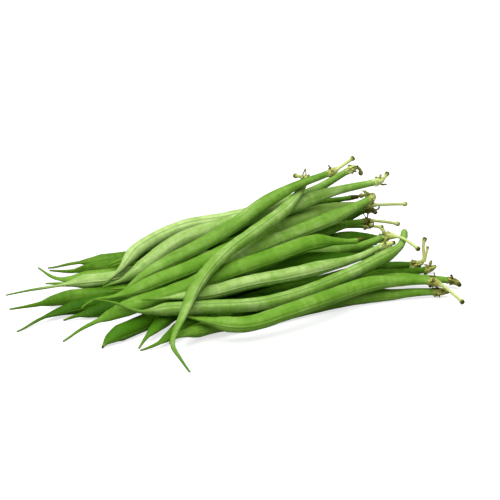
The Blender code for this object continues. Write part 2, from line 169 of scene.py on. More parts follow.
BEANS: dict[str, Bean] = {
    # The crest of the heap, which the view from the front shows from end to end
    "bean_top": Bean(3.7, 1.9, 12, 34, 26, 9, 0.5, (
        (68, 12, 62), (63, 13, 58.5), (57, 13, 55.5), (38, 14, 50), (20, 13, 43), (3, 11, 34),
        (-15, 9, 27), (-33, 7, 21), (-51, 2, 15), (-59, -2, 12)),
        roll=30, cap_dryness=0.35, stalk_dryness=0.15, neck_tone_and_shade=0.15, tone=-0.08,
        trim=(leaflet(90, 50, 3.2, 0.6), leaflet(200, 70, 2.4, 0.8))),
    "bean_crossing": Bean(3.7, 2.0, 9, 22, 42, 16, 0.6, (
        (43, 31, 49), (46, 28, 49), (47, 23, 50), (31, 9, 41), (10, -2, 35), (-10, -13, 30),
        (-29, -28.5, 23), (-42.5, -47, 16), (-50, -57, 12), (-52, -61, 9), (-50, -66, 5),
        (-47.5, -72, 0)),
        roll=-20, twist=-45, flatness=0.38, cap_dryness=0.35, stalk_dryness=0.3, neck_tone_and_shade=-0.1,
        crease=1.3, tone=-0.1, trim=(stub(90, 56, 4.6, 0.7, -3.8), stub(90, 118, 4.6, 0.7, 0.9),
        leaflet(60, 60, 2.4, 0.3))),
    "bean_crest": Bean(3.9, 1.9, 9, 34, 14, 8, 0.9, (
        (78, 26, 47), (77, 25, 51), (72, 23, 52), (51, 26, 41), (28, 28, 34), (5, 29, 31),
        (-19, 28, 30), (-43.5, 24, 22.5), (-53, 19, 15.5), (-62.5, 16.5, 10)),
        roll=-50, twist=15, cap_dryness=0.35, stalk_dryness=0.6, neck_tone_and_shade=0.45, crease=1.2,
        tone=0.03, trim=(curl(40, 130, 3.4, 0.95), leaflet(300, 150, 2.6, 0.5))),
    "bean_shoulder": Bean(4.1, 1.9, 6, 40, 12, 10, 0.7, (
        (89, 17, 50), (87, 16, 47), (84, 16, 46), (58, 17, 43), (33, 18, 37), (8, 19, 33),
        (-17, 18, 29), (-29, 17.5, 24.5), (-41.5, 14, 18.5), (-52, 11, 14), (-64.5, 10, 11.5)),
        twist=-35, cap_dryness=0.15, stalk_dryness=0.3, neck_tone_and_shade=0.15,
        trim=(leaflet(80, 125, 3.4, 0.3), leaflet(280, 125, 3.4, 0.4))),
    # The middle of the heap
    "bean_middle_long": Bean(4.0, 1.9, 26, 26, 16, 18, 0.4, (
        (107, 32, 25), (99, 29, 27), (89, 26, 29), (63, 23, 32), (37, 18, 29), (11, 11, 25),
        (-14, 2, 21), (-39, -4, 16), (-66, -7, 13), (-74, -6, 13), (-80, -7, 10)),
        # Its raised tone and its negative neck value are painted light on the part that the beans
        # above it shade
        roll=50, twist=30, flatness=0.35, cap_dryness=0.3, stalk_dryness=0.12, neck_tone_and_shade=-0.5,
        tone=0.1, trim=(leaflet(100, 70, 2.6, 0.4),)),
    "bean_middle_cap": Bean(4.2, 2.3, 9, 22, 16, 10, 0.5, (
        (77, 24, 36), (79, 20, 38), (81, 16, 38), (61, 11, 33), (38, 8, 28), (16, 3, 25),
        (-6, -4, 21), (-27, -8, 13), (-50, -10, 9), (-60, -11, 8)),
        roll=60, twist=20, cap_dryness=0.45, stalk_dryness=0.3, neck_tone_and_shade=0.1,
        trim=(leaflet(110, 35, 5.2, 0.12),)),
    "bean_middle_front": Bean(4.2, 1.5, 4, 18, 15, 20, 0.45, (
        (68, -3, 24), (63, -3, 23), (40, -4, 26), (15, -10, 24), (-10, -14, 21), (-35, -18, 16),
        (-60, -23, 14), (-81, -18, 5), (-87, -18, 2), (-93, -21, 0)),
        roll=75, twist=-30, flatness=0.36, cap_dryness=1.0, stalk_dryness=0.9, skin_from=0.29),
    "bean_middle_low": Bean(4.0, 1.7, 5, 38, 16, 14, 0.55, (
        (84.5, -3.5, 20), (79.5, -4, 19.5), (62, -8, 16), (41, -13, 16), (21, -17, 16),
        (0, -19, 16), (-21, -24, 16), (-42, -26, 17), (-56, -28, 19)),
        roll=80, twist=20, flatness=0.34, cap_dryness=0.15, stalk_dryness=0.1, tone=0.1,
        trim=(leaflet(60, 60, 3.4, 0.1),)),
    "bean_middle_second": Bean(3.6, 2.0, 19, 24, 14, 8, 0.5, (
        (91.5, -18, 20), (88, -11, 22.5), (85, -4, 22.5), (81.5, 0.5, 21.5), (75, 3, 18.5),
        (65, 5, 16), (42, 7, 16), (18, 5, 13), (-5, 1, 11), (-28, -2, 10), (-52, -1, 9),
        (-60, 0, 9)),
        roll=65, twist=0, cap_dryness=0.35, stalk_dryness=0.12, neck_tone_and_shade=0.2,
        trim=(leaflet(95, 55, 5.2, -0.1, 2.4), leaflet(330, 60, 2.2, 0.5))),
    "bean_middle_shade": Bean(3.7, 1.8, 4, 26, 14, 8, 0.25, (
        (89, 30, 23), (85, 30, 26), (65, 27, 21), (44, 26, 17), (22, 24, 15), (1, 22, 14),
        (-21, 20, 13), (-42, 18, 12), (-50, 18, 11)),
        roll=0, twist=30, cap_dryness=0.8, stalk_dryness=0.7, trim=(curl(70, 100, 5.0, 0.95),
        leaflet(110, 70, 3.2, 0.9))),
    "bean_dark_cap": Bean(3.8, 1.4, 3, 26, 14, 8, 0.3, (
        (79, 31, 33), (76, 31, 33), (57, 31, 32), (38, 32, 28), (20, 32, 25), (1, 32, 22),
        (-18, 32, 19), (-36, 33, 14), (-44, 34, 11)),
        roll=0, twist=30, cap_dryness=1.0, stalk_dryness=1.0, tone=0.15, skin_from=0.365),
    "bean_long_stalk": Bean(3.6, 1.7, 19, 24, 14, 8, 0.35, (
        (99, 23, 18), (90, 22, 21), (79, 21, 23), (57, 16, 23), (35, 14, 20), (13, 10, 17),
        (-9, 7, 15), (-31, 5, 13), (-53, 4, 12), (-61, 5, 12)),
        roll=40, twist=30, cap_dryness=0.75, stalk_dryness=0.12, tone=0.1,
        trim=(stub(80, 85, 6.0, 0.8), stub(100, 60, 4.0, 0.8), curl(300, 120, 4.6, 1.0),
        leaflet(20, 70, 2.2, 0.8))),
    "bean_behind_caps": Bean(3.6, 1.9, 6, 22, 14, 8, 0.3, (
        (93, 18, 9), (87, 18, 13), (66, 16, 18), (45, 19, 12), (23, 18, 11), (1, 14, 11),
        (-21, 12, 11), (-44, 9, 11), (-52, 8, 11)),
        roll=10, twist=30, cap_dryness=0.5, stalk_dryness=0.3, trim=(leaflet(90, 60, 4.6, 0.05),)),
    "bean_under_middle": Bean(3.9, 2.0, 4, 24, 14, 9, 0.35, (
        (82, -1, 14), (78, -1, 13), (54, -1, 14), (29, -1, 16), (6, -6, 10), (-16, -14, 9),
        (-39, -22, 8), (-57, -36.5, 3.5), (-62, -41, 0.5)),
        # Its darker tone is painted shade: it lies in shade under the heap
        roll=40, flatness=0.42, cap_dryness=0.5, stalk_dryness=0.3, tone=-0.4,
        trim=(leaflet(320, 70, 2.4, 0.7),)),
    # The front and the right, down to the table
    "bean_upright_stalk": Bean(3.8, 2.2, 16, 22, 16, 10, 0.3, (
        (106, 5.5, 16), (103.5, 3.5, 11.5), (104, 0.5, 7.5), (100.5, -1.5, 4.5), (89.5, 3.5, 3.5),
        (74.5, 3.5, 3.5), (47, -3, 3), (21, -8, 3), (-6, -16, 3), (-31, -26, 3), (-52, -43, 3),
        (-61, -43, 0)),
        twist=60, flatness=0.45, cap_dryness=0.45, stalk_dryness=0.35,
        trim=(stub(10, 171, 11.0, 0.45, -0.5), leaflet(20, 130, 3.4, 0.3),
        leaflet(200, 120, 2.4, 0.7))),
    "bean_right_second": Bean(3.6, 1.9, 4, 24, 14, 8, 0.3, (
        (108, -3, 3), (104, -5, 3), (81, -5, 3), (59, -8, 3), (37, -14, 3), (15, -19, 3),
        (-7, -24, 3), (-28, -33, 5), (-35, -36, 4)),
        roll=50, flatness=0.4, cap_dryness=0.55, stalk_dryness=0.35,
        trim=(leaflet(80, 90, 3.6, 0.5), leaflet(30, 110, 3.2, 0.3))),
    "bean_right_third": Bean(3.8, 1.9, 4, 24, 14, 8, 0.35, (
        (109, -30, 3), (108, -26, 4), (89, -19, 5), (68, -17, 6), (48, -18, 8), (28, -24, 7),
        (7, -28, 6), (-14, -32, 5), (-22, -34, 5)),
        roll=60, twist=20, flatness=0.35, cap_dryness=0.75, stalk_dryness=0.7,
        trim=(leaflet(70, 50, 3.0, 0.8), leaflet(10, 70, 2.6, 0.7))),
    "bean_front_hooked": Bean(3.7, 2.0, 2, 16, 12, 24, 0.5, (
        (90, -2.5, 26), (88.5, -5.5, 22), (82.5, -11, 19.5), (68, -17.5, 17), (45, -25, 14),
        (21, -32, 12), (-3, -35, 11), (-27, -33, 13), (-44.5, -29.5, 13), (-52.5, -28.5, 12.5),
        (-57, -28.5, 13), (-61.5, -27, 14.5), (-68.5, -24.5, 18), (-78, -20.5, 19.5)),
        roll=-32, twist=-8, flatness=0.45, cap_dryness=0.0, stalk_dryness=0.0, crease=1.3,
        tone=0.02, skin_from=-1.0),
    "bean_front_low": Bean(4.3, 2.2, 18, 30, 16, 6, 0.4, (
        (102, -48, 2), (99, -40, 5), (93, -34, 9), (71, -30, 10), (49, -32, 10), (29, -42, 12),
        (8, -48, 11), (-14, -50, 9), (-35, -42, 11), (-40, -40, 13)),
        roll=70, twist=30, flatness=0.42, cap_dryness=0.5, stalk_dryness=0.15, tone=0.15,
        trim=(leaflet(110, 60, 3.0, 0.5), leaflet(40, 40, 2.6, 0.4), leaflet(300, 60, 2.6, 0.7))),
    "bean_front_base": Bean(3.8, 2.1, 4, 30, 16, 6, 0.35, (
        (100.5, -35, 3), (97.5, -34, 3), (82.5, -31, 3.5), (66, -28.5, 3.5), (48.5, -28, 3.5),
        (30, -29.5, 3.5), (11.5, -32, 3.5), (-7, -35, 4), (-26, -39, 6), (-47, -50, 8),
        (-51, -54, 7)),
        roll=60, twist=30, flatness=0.42, cap_dryness=0.6, stalk_dryness=0.6, tone=0.15,
        trim=(leaflet(340, 60, 2.6, 0.8), leaflet(40, 150, 2.6, 0.7))),
    # The beaks that fan out on the table to the left
    "bean_left_blunt": Bean(4.4, 2.0, 4, 26, 10, 3, 0.35, (
        (59, 7, 9), (54, 7, 8), (31, 6, 5), (9, 2, 4), (-14, -4, 3), (-36, -12, 3), (-56, -23, 4),
        (-76, -33, 2), (-78, -35, 0)),
        # Its darker tone is painted shade: it lies in shade under the heap
        roll=30, twist=50, tone=-0.55, tip_dryness=1.0),
    "bean_left_shade": Bean(3.9, 2.0, 5, 26, 12, 8, 0.2, (
        (58, 18, 4), (52, 19, 3), (30, 16, 3), (8, 12, 3), (-14, 8, 3), (-36, 4, 3), (-58, 1, 3),
        (-80, 1, 2.5), (-87, 2, 0.5)),
        # Its darker tone is painted shade: it lies in shade under the heap
        roll=10, twist=60, flatness=0.35, tone=-0.35),
    "bean_left_reach": Bean(4.1, 2.0, 5, 26, 18, 17, 0.3, (
        (50, 26, 7), (44, 26, 7), (21, 23, 6), (-2, 19, 5), (-26, 15, 4), (-49, 10, 4),
        (-72, 9, 4), (-95, 4, 3), (-111, -3, 0)),
        # Its darker tone is painted shade: it lies in shade under the heap
        roll=40, twist=60, flatness=0.4, tone=-0.3),
    "bean_left_low": Bean(3.9, 2.0, 5, 26, 16, 16, 0.3, (
        (31, 31, 2), (25, 32, 3), (5, 28, 3), (-16, 25, 3), (-36, 21, 3), (-56, 18, 3),
        (-76, 21, 4), (-96, 17, 4), (-110, 16, 4)),
        roll=60, twist=-50, flatness=0.45, tone=0.22),
    "bean_left_long": Bean(3.9, 2.0, 5, 26, 12, 28, 0.5, (
        (58, 31, 12), (52, 31, 12), (30, 32, 11), (8, 30, 11), (-14, 29, 11), (-36, 26, 11),
        (-59, 23, 9), (-72, 26, 8), (-81.5, 29, 7), (-95.5, 34.5, 4.5), (-107, 38, 2)),
        roll=80, twist=30, flatness=0.4, tone=0.32),
    # The far side, down to the table
    "bean_back_low": Bean(3.7, 2.0, 5, 26, 14, 12, 0.4, (
        (27, 36, 3), (21, 38, 3), (3, 36, 3), (-16, 33, 3), (-34, 30, 3), (-53, 31, 3),
        (-70, 36, 3.5), (-87, 36.5, 6)),
        twist=60, flatness=0.4),
    "bean_back_tail": Bean(3.7, 2.0, 5, 26, 14, 16, 0.4, (
        (55, 40, 3), (49, 41, 3), (27, 44, 3), (5, 45, 3), (-17, 43, 3), (-38, 41, 3),
        (-62, 43, 3), (-78, 47, 3), (-85, 60, 5)),
        roll=50, twist=30, flatness=0.35, tone=0.15),
    "bean_back_second": Bean(3.8, 2.0, 5, 26, 14, 14, 0.3, (
        (70, 47, 3), (65, 49, 3), (44, 56, 3), (22, 59, 3), (-1, 58, 3), (-23, 56, 3),
        (-45, 56, 3), (-66, 58, 1), (-78, 65, 0)),
        roll=30, twist=-40, flatness=0.4, tone=0.15),
    "bean_back_table": Bean(3.9, 2.0, 5, 26, 12, 17, 0.3, (
        (80, 56, 2), (74, 56, 3), (51, 61, 3), (28, 69, 3), (5, 71, 3), (-18, 65, 3),
        (-41, 57.5, 3), (-65, 64, 3), (-78, 69, 0)),
        roll=60, twist=30, flatness=0.35, tone=0.3),
    "bean_rear_low": Bean(3.8, 2.0, 6, 26, 16, 9, 0.35, (
        (93, 37, 3), (86, 38, 3), (66, 41, 3), (47, 49, 8), (27, 52, 8), (7, 51, 8), (-13, 50, 7),
        (-33, 48, 7), (-42, 47, 6)),
        twist=50),
    "bean_rear_middle": Bean(4.0, 2.0, 8, 26, 16, 9, 0.45, (
        (100, 45, 8), (91, 46, 10), (69, 48, 13), (47, 50, 16), (24, 51, 17), (2, 51, 16),
        (-20, 48, 14), (-42, 43, 10), (-51, 40, 9)),
        roll=70, twist=-40),
    "bean_rear_high": Bean(3.8, 2.0, 7, 28, 16, 9, 0.4, (
        (92, 44, 23), (84, 45, 22), (62, 47, 22), (40, 45, 23), (18, 45, 23), (-4, 43, 22),
        (-26, 38, 19), (-47, 33, 15), (-56, 31, 14)),
        roll=40),
    "bean_rear_under": Bean(3.9, 2.0, 6, 26, 16, 9, 0.35, (
        (100, 24, 5), (93, 25, 4), (71, 30, 5), (50, 37, 9), (29, 40, 15), (7, 42, 15),
        (-16, 41, 13), (-38, 39, 12), (-47, 38, 11)),
        roll=0, twist=50),
}


@dataclass(frozen=True)
class Growth:
    """The thicknesses that every bean shares, in millimetres, and the outline that they give."""

    cut_radius: float = 1.0
    knob_radius: float = 1.35
    knob_widest: float = 1.0
    knob_end: float = 2.6
    stalk_radius: float = 0.8
    stalk_flare: float = 2.2
    short_stalk: float = 5.0
    short_knob: float = 0.3
    short_foot: float = 0.6
    cap_top: float = 0.8
    cap_widest: float = 1.6
    cap_end: float = 3.5
    cap_top_share: float = 0.88
    neck_share: float = 0.85
    neck_turn: float = 0.5
    neck_swell: float = 0.3
    taper_turn: float = 0.35
    taper_share: float = 0.68
    beak_radius: float = 1.25
    beak_turn: float = 0.6
    beak_turn_radius: float = 0.7
    tip_radius: float = 0.45

    def girth(self, bean: Bean, length: float) -> tuple[np.ndarray, np.ndarray]:
        """Gives the outline of a bean's solid.

        Args:
            bean: The bean.
            length: Its whole length, in millimetres.

        Returns:
            Distances from the stalk's cut end, and the radius at each.
        """
        neck_start = bean.stalk + self.cap_end
        neck_radius = self.neck_share * bean.cap
        beak_start = length - bean.beak
        outline = [(0.0, self.cut_radius)]
        if bean.stalk > self.short_stalk:
            outline += [
                (self.knob_widest, self.knob_radius), (self.knob_end, self.stalk_radius),
                (bean.stalk - self.stalk_flare, self.stalk_radius),
            ]
        outline += [
            (bean.stalk - self.cap_top, self.cap_top_share * bean.cap),
            (bean.stalk + self.cap_widest, bean.cap),
            (neck_start, neck_radius),
            (neck_start + self.neck_turn * bean.neck,
             neck_radius + self.neck_swell * (bean.radius - neck_radius)),
            (neck_start + bean.neck, bean.radius),
            (beak_start - bean.taper, bean.radius),
            (beak_start - self.taper_turn * bean.taper, self.taper_share * bean.radius),
            (beak_start, self.beak_radius),
            (beak_start + self.beak_turn * bean.beak, self.beak_turn_radius),
            (length, self.tip_radius),
        ]
        distances, radii = zip(*outline)
        return np.array(distances), np.array(radii)

    def marks(self, bean: Bean, length: float) -> np.ndarray:
        """Gives the places where one part of a bean passes into the next.

        Args:
            bean: The bean.
            length: Its whole length, in millimetres.

        Returns:
            The distance of each mark from the stalk's cut end.
        """
        stalk_end = bean.stalk - self.cap_top
        lip = bean.stalk + self.cap_end
        beak_start = length - bean.beak
        knob, foot = self.knob_widest, self.knob_end
        if bean.stalk <= self.short_stalk:
            knob, foot = self.short_knob * stalk_end, self.short_foot * stalk_end
        return np.array([
            0.0, knob, foot, stalk_end, bean.stalk + self.cap_widest, lip,
            lip + self.neck_turn * bean.neck, lip + bean.neck, beak_start - bean.taper,
            beak_start, beak_start + bean.beak / 2, length,
        ])


@dataclass
class Heap:
    """Lays the beans against each other by the rule that their solids follow.

    Each listed route becomes a smooth line, and the lines are eased apart until every two
    beans are clear of each other and none is lower than the table. Sizes are in millimetres.
    """

    beans: dict[str, Bean]
    growth: Growth
    clearance: float = 0.3
    table_sink: float = 0.92
    stations: int = 48
    fine_steps: int = 8
    span_steps: int = 16
    rounds: int = 200
    list_every: int = 8
    list_margin: float = 3.0
    bend_spread: float = 12.0
    eagerness: float = 1.4
    hair: float = 1e-9
    lengths: dict[str, float] = field(default_factory=dict)
    lines: dict[str, np.ndarray] = field(default_factory=dict)

    def lay(self) -> None:
        """Finds every bean's length and its settled centre-line."""
        measured = [self.even_stations(self.smooth_route(b.route)) for b in self.beans.values()]
        self.lengths = dict(zip(self.beans, (length for length, _ in measured)))
        reach = np.array([self.widest_near(b, self.lengths[n]) for n, b in self.beans.items()])
        settled = self.ease_apart(np.array([line for _, line in measured]), reach)
        self.lines = dict(zip(self.beans, settled))

    def smooth_route(self, route: tuple) -> np.ndarray:
        """Makes a smooth curve of a route: each span is a Bezier arc whose handles are a third of
        the span long and lie along the line between the neighbouring points.

        Args:
            route: The points of the route.

        Returns:
            Close-set points of the curve.
        """
        points = np.array(route, float)
        ends = np.vstack([2 * points[0] - points[1], points, 2 * points[-1] - points[-2]])
        headings = ends[2:] - ends[:-2]
        headings /= np.linalg.norm(headings, axis=1, keepdims=True)
        steps = np.linspace(0.0, 1.0, self.span_steps, endpoint=False)[:, None]
        spans = []
        for start, end, leaving, arriving in zip(points, points[1:], headings, headings[1:]):
            reach = np.linalg.norm(end - start) / 3
            first, second = start + leaving * reach, end - arriving * reach
            spans.append(
                (1 - steps) ** 3 * start
                + 3 * (1 - steps) ** 2 * steps * first
                + 3 * (1 - steps) * steps**2 * second
                + steps**3 * end
            )
        return np.vstack(spans + [points[-1:]])

    def even_stations(self, line: np.ndarray) -> tuple[float, np.ndarray]:
        """Measures a curve.

        Args:
            line: Close-set points of the curve.

        Returns:
            Its length, and its points at even distances.
        """
        steps = np.linalg.norm(np.diff(line, axis=0), axis=1)
        travelled = np.concatenate([[0.0], np.cumsum(steps)])
        wanted = np.linspace(0.0, travelled[-1], self.stations)
        even = np.stack([np.interp(wanted, travelled, axis) for axis in line.T], axis=1)
        return travelled[-1], even

    def widest_near(self, bean: Bean, length: float) -> np.ndarray:
        """Gives the largest radius within half a step of each station."""
        fine = np.linspace(0.0, length, self.fine_steps * (self.stations - 1) + 1)
        radii = np.interp(fine, *self.growth.girth(bean, length))
        half = self.fine_steps // 2
        middles = range(0, len(fine), self.fine_steps)
        return np.array([radii[max(0, i - half):i + half + 1].max() for i in middles])

    def bend_spreader(self) -> np.ndarray:
        """Gives a matrix that spreads a push over its neighbours, as a stiff pod does."""
        bends = np.zeros((self.stations - 2, self.stations))
        for row in range(self.stations - 2):
            bends[row, row:row + 3] = (1.0, -2.0, 1.0)
        return np.linalg.inv(np.eye(self.stations) + self.bend_spread * bends.T @ bends)

    def list_neighbours(
        self, lines: np.ndarray, reach: np.ndarray
    ) -> tuple[np.ndarray, np.ndarray]:
        """Pairs each station with the segments of other beans that lie close to it.

        Args:
            lines: Every bean's stations.
            reach: The radius at each station.

        Returns:
            The stations and the segments of the pairs, as two arrays of numbers.
        """
        middles = (0.5 * (lines[:, 1:] + lines[:, :-1])).reshape(-1, 3)
        halves = (0.5 * np.linalg.norm(np.diff(lines, axis=1), axis=2)).reshape(-1)
        wide = np.maximum(reach[:, 1:], reach[:, :-1]).reshape(-1)
        points = lines.reshape(-1, 3)
        apart = np.sqrt(((points[:, None] - middles[None]) ** 2).sum(axis=-1))
        limit = reach.reshape(-1)[:, None] + (wide + halves)[None] + self.list_margin
        owner = np.repeat(np.arange(len(lines)), self.stations)
        segment_owner = np.repeat(np.arange(len(lines)), self.stations - 1)
        close = (apart < limit) & (owner[:, None] != segment_owner[None])
        station, segment = np.nonzero(close)
        return station, segment + segment_owner[segment]

    def contact_push(
        self, lines: np.ndarray, reach: np.ndarray, station: np.ndarray, segment: np.ndarray
    ) -> np.ndarray:
        """Finds how far each station is pushed by the beans that crowd it.

        Args:
            lines: Every bean's stations.
            reach: The radius at each station.
            station: The stations of the close pairs.
            segment: The segments of the close pairs.

        Returns:
            A push for each station, half of each overlap a side.
        """
        points, widths = lines.reshape(-1, 3), reach.reshape(-1)
        start, along = points[segment], points[segment + 1] - points[segment]
        share = ((points[station] - start) * along).sum(axis=1) / (along * along).sum(axis=1)
        share = np.clip(share, 0.0, 1.0)
        away = points[station] - start - along * share[:, None]
        apart = np.linalg.norm(away, axis=1) + self.hair
        wanted = widths[station] + widths[segment] * (1 - share) + widths[segment + 1] * share
        short = wanted + self.clearance - apart
        hit = short > 0
        station, segment, share = station[hit], segment[hit], share[hit]
        push = away[hit] * (0.5 * short[hit] / apart[hit])[:, None]
        total, count = np.zeros_like(points), np.zeros(len(points))
        for index, sign, weight in (
            (station, 1, np.ones(len(station))),
            (segment, -1, 1 - share),
            (segment + 1, -1, share),
        ):
            np.add.at(total, index, sign * push * weight[:, None])
            np.add.at(count, index, weight)
        return (total / np.maximum(count, 1.0)[:, None]).reshape(lines.shape)

    def ease_apart(self, lines: np.ndarray, reach: np.ndarray) -> np.ndarray:
        """Moves the centre-lines until the beans are clear of each other and of the table.

        Args:
            lines: Every bean's stations.
            reach: The radius at each station.

        Returns:
            The settled stations.
        """
        spreader = self.bend_spreader()
        lowest = self.table_sink * reach
        lines = lines.copy()
        for turn in range(self.rounds):
            if turn % self.list_every == 0:
                station, segment = self.list_neighbours(lines, reach)
            push = self.contact_push(lines, reach, station, segment)
            lines += self.eagerness * np.einsum("ij,bjk->bik", spreader, push)
            lines[..., 2] = np.maximum(lines[..., 2], lowest)
        return lines


def deselect_all() -> None:
    """Leaves object mode with nothing selected."""
    if bpy.context.mode != "OBJECT":
        bpy.ops.object.mode_set(mode="OBJECT")
    bpy.ops.object.select_all(action="DESELECT")


def make_active(piece: bpy.types.Object) -> None:
    """Selects one object alone."""
    deselect_all()
    piece.select_set(True)
    bpy.context.view_layer.objects.active = piece


def select_where(piece: bpy.types.Object, kind: str, test: Callable[[Vector], bool]) -> None:
    """Selects the parts of a mesh in edit mode by their place.

    Args:
        piece: The object in edit mode.
        kind: "VERT" or "FACE".
        test: Says for a vertex's place, or a face's middle, whether it is selected.
    """
    bpy.ops.mesh.select_mode(type=kind)
    bpy.ops.mesh.select_all(action="DESELECT")
    shape = bmesh.from_edit_mesh(piece.data)
    for vert in shape.verts if kind == "VERT" else ():
        vert.select = test(vert.co)
    for face in shape.faces if kind == "FACE" else ():
        face.select = test(face.calc_center_median())
    shape.select_flush_mode()
    bmesh.update_edit_mesh(piece.data)


def own_copy(model: bpy.types.Object, name: str) -> bpy.types.Object:
    """Copies a model, with a mesh of its own.

    Args:
        model: The object to copy.
        name: The copy's name.

    Returns:
        The copy, in the scene.
    """
    piece = model.copy()
    piece.data = model.data.copy()
    piece.name = name
    piece.data.name = name
    bpy.context.scene.collection.objects.link(piece)
    return piece


def read_places(mesh: bpy.types.Mesh) -> np.ndarray:
    """Reads a mesh's vertices as rows of X, Y and Z."""
    places = np.zeros(len(mesh.vertices) * 3, np.float32)
    mesh.vertices.foreach_get("co", places)
    return places.reshape(-1, 3).astype(float)


def write_places(mesh: bpy.types.Mesh, places: np.ndarray) -> None:
    """Puts a mesh's vertices at the given places."""
    mesh.vertices.foreach_set("co", places.astype(np.float32).ravel())
    mesh.update()


def read_values(mesh: bpy.types.Mesh, name: str) -> np.ndarray:
    """Reads the number or the row of three that a mesh keeps at each vertex."""
    layer = mesh.attributes[name]
    key, width = ("value", 1) if layer.data_type == "FLOAT" else ("vector", 3)
    values = np.zeros(len(mesh.vertices) * width, np.float32)
    layer.data.foreach_get(key, values)
    return values if width == 1 else values.reshape(-1, width)


def keep_values(mesh: bpy.types.Mesh, name: str, values: np.ndarray) -> None:
    """Keeps a number or a vector at each vertex, for the finishes to read.

    Args:
        mesh: The mesh.
        name: The attribute's name.
        values: One number, or one row of three, for each vertex.
    """
    kind, key = ("FLOAT", "value") if values.ndim == 1 else ("FLOAT_VECTOR", "vector")
    layer = mesh.attributes.get(name) or mesh.attributes.new(name, kind, "POINT")
    layer.data.foreach_set(key, values.astype(np.float32).ravel())


def start_disc(name: str, sides: int, radius: float) -> bpy.types.Object:
    """Makes a disc that faces along X, and leaves it selected in edit mode.

    Args:
        name: The object's name.
        sides: How many corners the disc has.
        radius: Its radius, in millimetres.

    Returns:
        The object.
    """
    deselect_all()
    bpy.ops.mesh.primitive_circle_add(
        vertices=sides, radius=radius * MM, fill_type="NGON", rotation=(0.0, math.pi / 2, 0.0)
    )
    disc = bpy.context.active_object
    disc.name = name
    bpy.ops.object.transform_apply(rotation=True)
    bpy.ops.object.mode_set(mode="EDIT")
    bpy.ops.mesh.select_mode(type="FACE")
    bpy.ops.mesh.select_all(action="SELECT")
    return disc


def extrude_ring(step: float, scale: float = 1.0) -> None:
    """Extrudes the selected end along X by millimetres, and makes it wider or narrower."""
    bpy.ops.mesh.extrude_region_move(TRANSFORM_OT_translate={"value": (step * MM, 0.0, 0.0)})
    bpy.ops.transform.resize(value=(1.0, scale, scale), center_override=(0.0, 0.0, 0.0))


def face_outward() -> None:
    """Turns every face of the object in edit mode outward, and leaves edit mode."""
    bpy.ops.mesh.select_all(action="SELECT")
    bpy.ops.mesh.normals_make_consistent(inside=False)
    bpy.ops.object.mode_set(mode="OBJECT")


@dataclass
class PodModel:
    """The straight bean that every bean in the heap is copied from, in millimetres.

    It lies along X from its stalk's cut end, with its seams at the ends of its Z.
    """

    growth: Growth
    sides: int = 48
    length: float = 140.0
    rings: tuple[int, ...] = (3, 3, 5, 7, 6, 10, 10, 46, 18, 8, 8)
    knob_dish: float = 0.35
    lip_flare: float = 1.13
    lip_shift: float = 0.5
    flared_from: float = 1.06
    lobes: int = 5
    lobe_reach: float = 0.55
    lobe_from: float = 0.1
    middling: Bean = Bean(4.0, 2.0, 12, 28, 16, 12, 0.5, ())

    def __post_init__(self) -> None:
        """Works out the model's marks and its lip's place."""
        self.marks = self.growth.marks(self.middling, self.length)
        self.lip = self.marks[Mark.LIP] * MM

    def ring_places(self) -> list[float]:
        """Gives the distances of the rings: more where the form changes faster."""
        places = [float(self.marks[Mark.CUT])]
        for start, end, count in zip(self.marks, self.marks[1:], self.rings):
            places += [float(x) for x in np.linspace(start, end, count + 1)[1:]]
        return places

    def radius_at(self, place: Any) -> Any:
        """Gives the model's radius at one or more distances from its cut end."""
        return np.interp(place, *self.growth.girth(self.middling, self.length))

    def build(self) -> bpy.types.Object:
        """Models the straight bean, to be copied for each bean of the heap."""
        places = self.ring_places()
        radii = [float(self.radius_at(place)) for place in places]
        model = start_disc("straight_bean", self.sides, radii[0])
        for ring in range(1, len(places)):
            extrude_ring(places[ring] - places[ring - 1], radii[ring] / radii[ring - 1])
        self.dish_knob(model)
        self.raise_lip(model)
        self.pull_lobes(model)
        face_outward()
        return model

    def dish_knob(self, model: bpy.types.Object) -> None:
        """Hollows the stalk's cut end a little."""
        select_where(model, "FACE", lambda middle: middle.x < CLOSE)
        bpy.ops.mesh.inset(thickness=self.knob_dish * MM, depth=0.0)
        bpy.ops.transform.translate(value=(self.knob_dish * MM, 0.0, 0.0))

    def raise_lip(self, model: bpy.types.Object) -> None:
        """Flares the cap's lip, so that it stands over the neck as a step."""
        select_where(model, "VERT", lambda place: abs(place.x - self.lip) < CLOSE)
        bpy.ops.transform.resize(
            value=(1.0, self.lip_flare, self.lip_flare), center_override=(0.0, 0.0, 0.0)
        )
        bpy.ops.transform.translate(value=(-self.lip_shift * MM, 0.0, 0.0))

    def pull_lobes(self, model: bpy.types.Object) -> None:
        """Draws the lip out into short lobes over the neck."""
        lip = self.lip - self.lip_shift * MM
        neck = self.growth.neck_share * self.middling.cap * MM

        def on_lobe(place: Vector) -> bool:
            """Says whether a vertex of the flared lip belongs to a lobe."""
            turn = math.atan2(place.z, place.y) * self.lobes
            flared = place.yz.length > self.flared_from * neck
            return abs(place.x - lip) < CLOSE and flared and math.cos(turn) > self.lobe_from

        select_where(model, "VERT", on_lobe)
        bpy.ops.transform.translate(value=(self.lobe_reach * MM, 0.0, 0.0))


@dataclass(frozen=True)
class LeafForm:
    """A leaf's width, how far its tip bends out, and its point: 2 is sharp and 5 is round."""

    width: float
    bend: float
    point: float


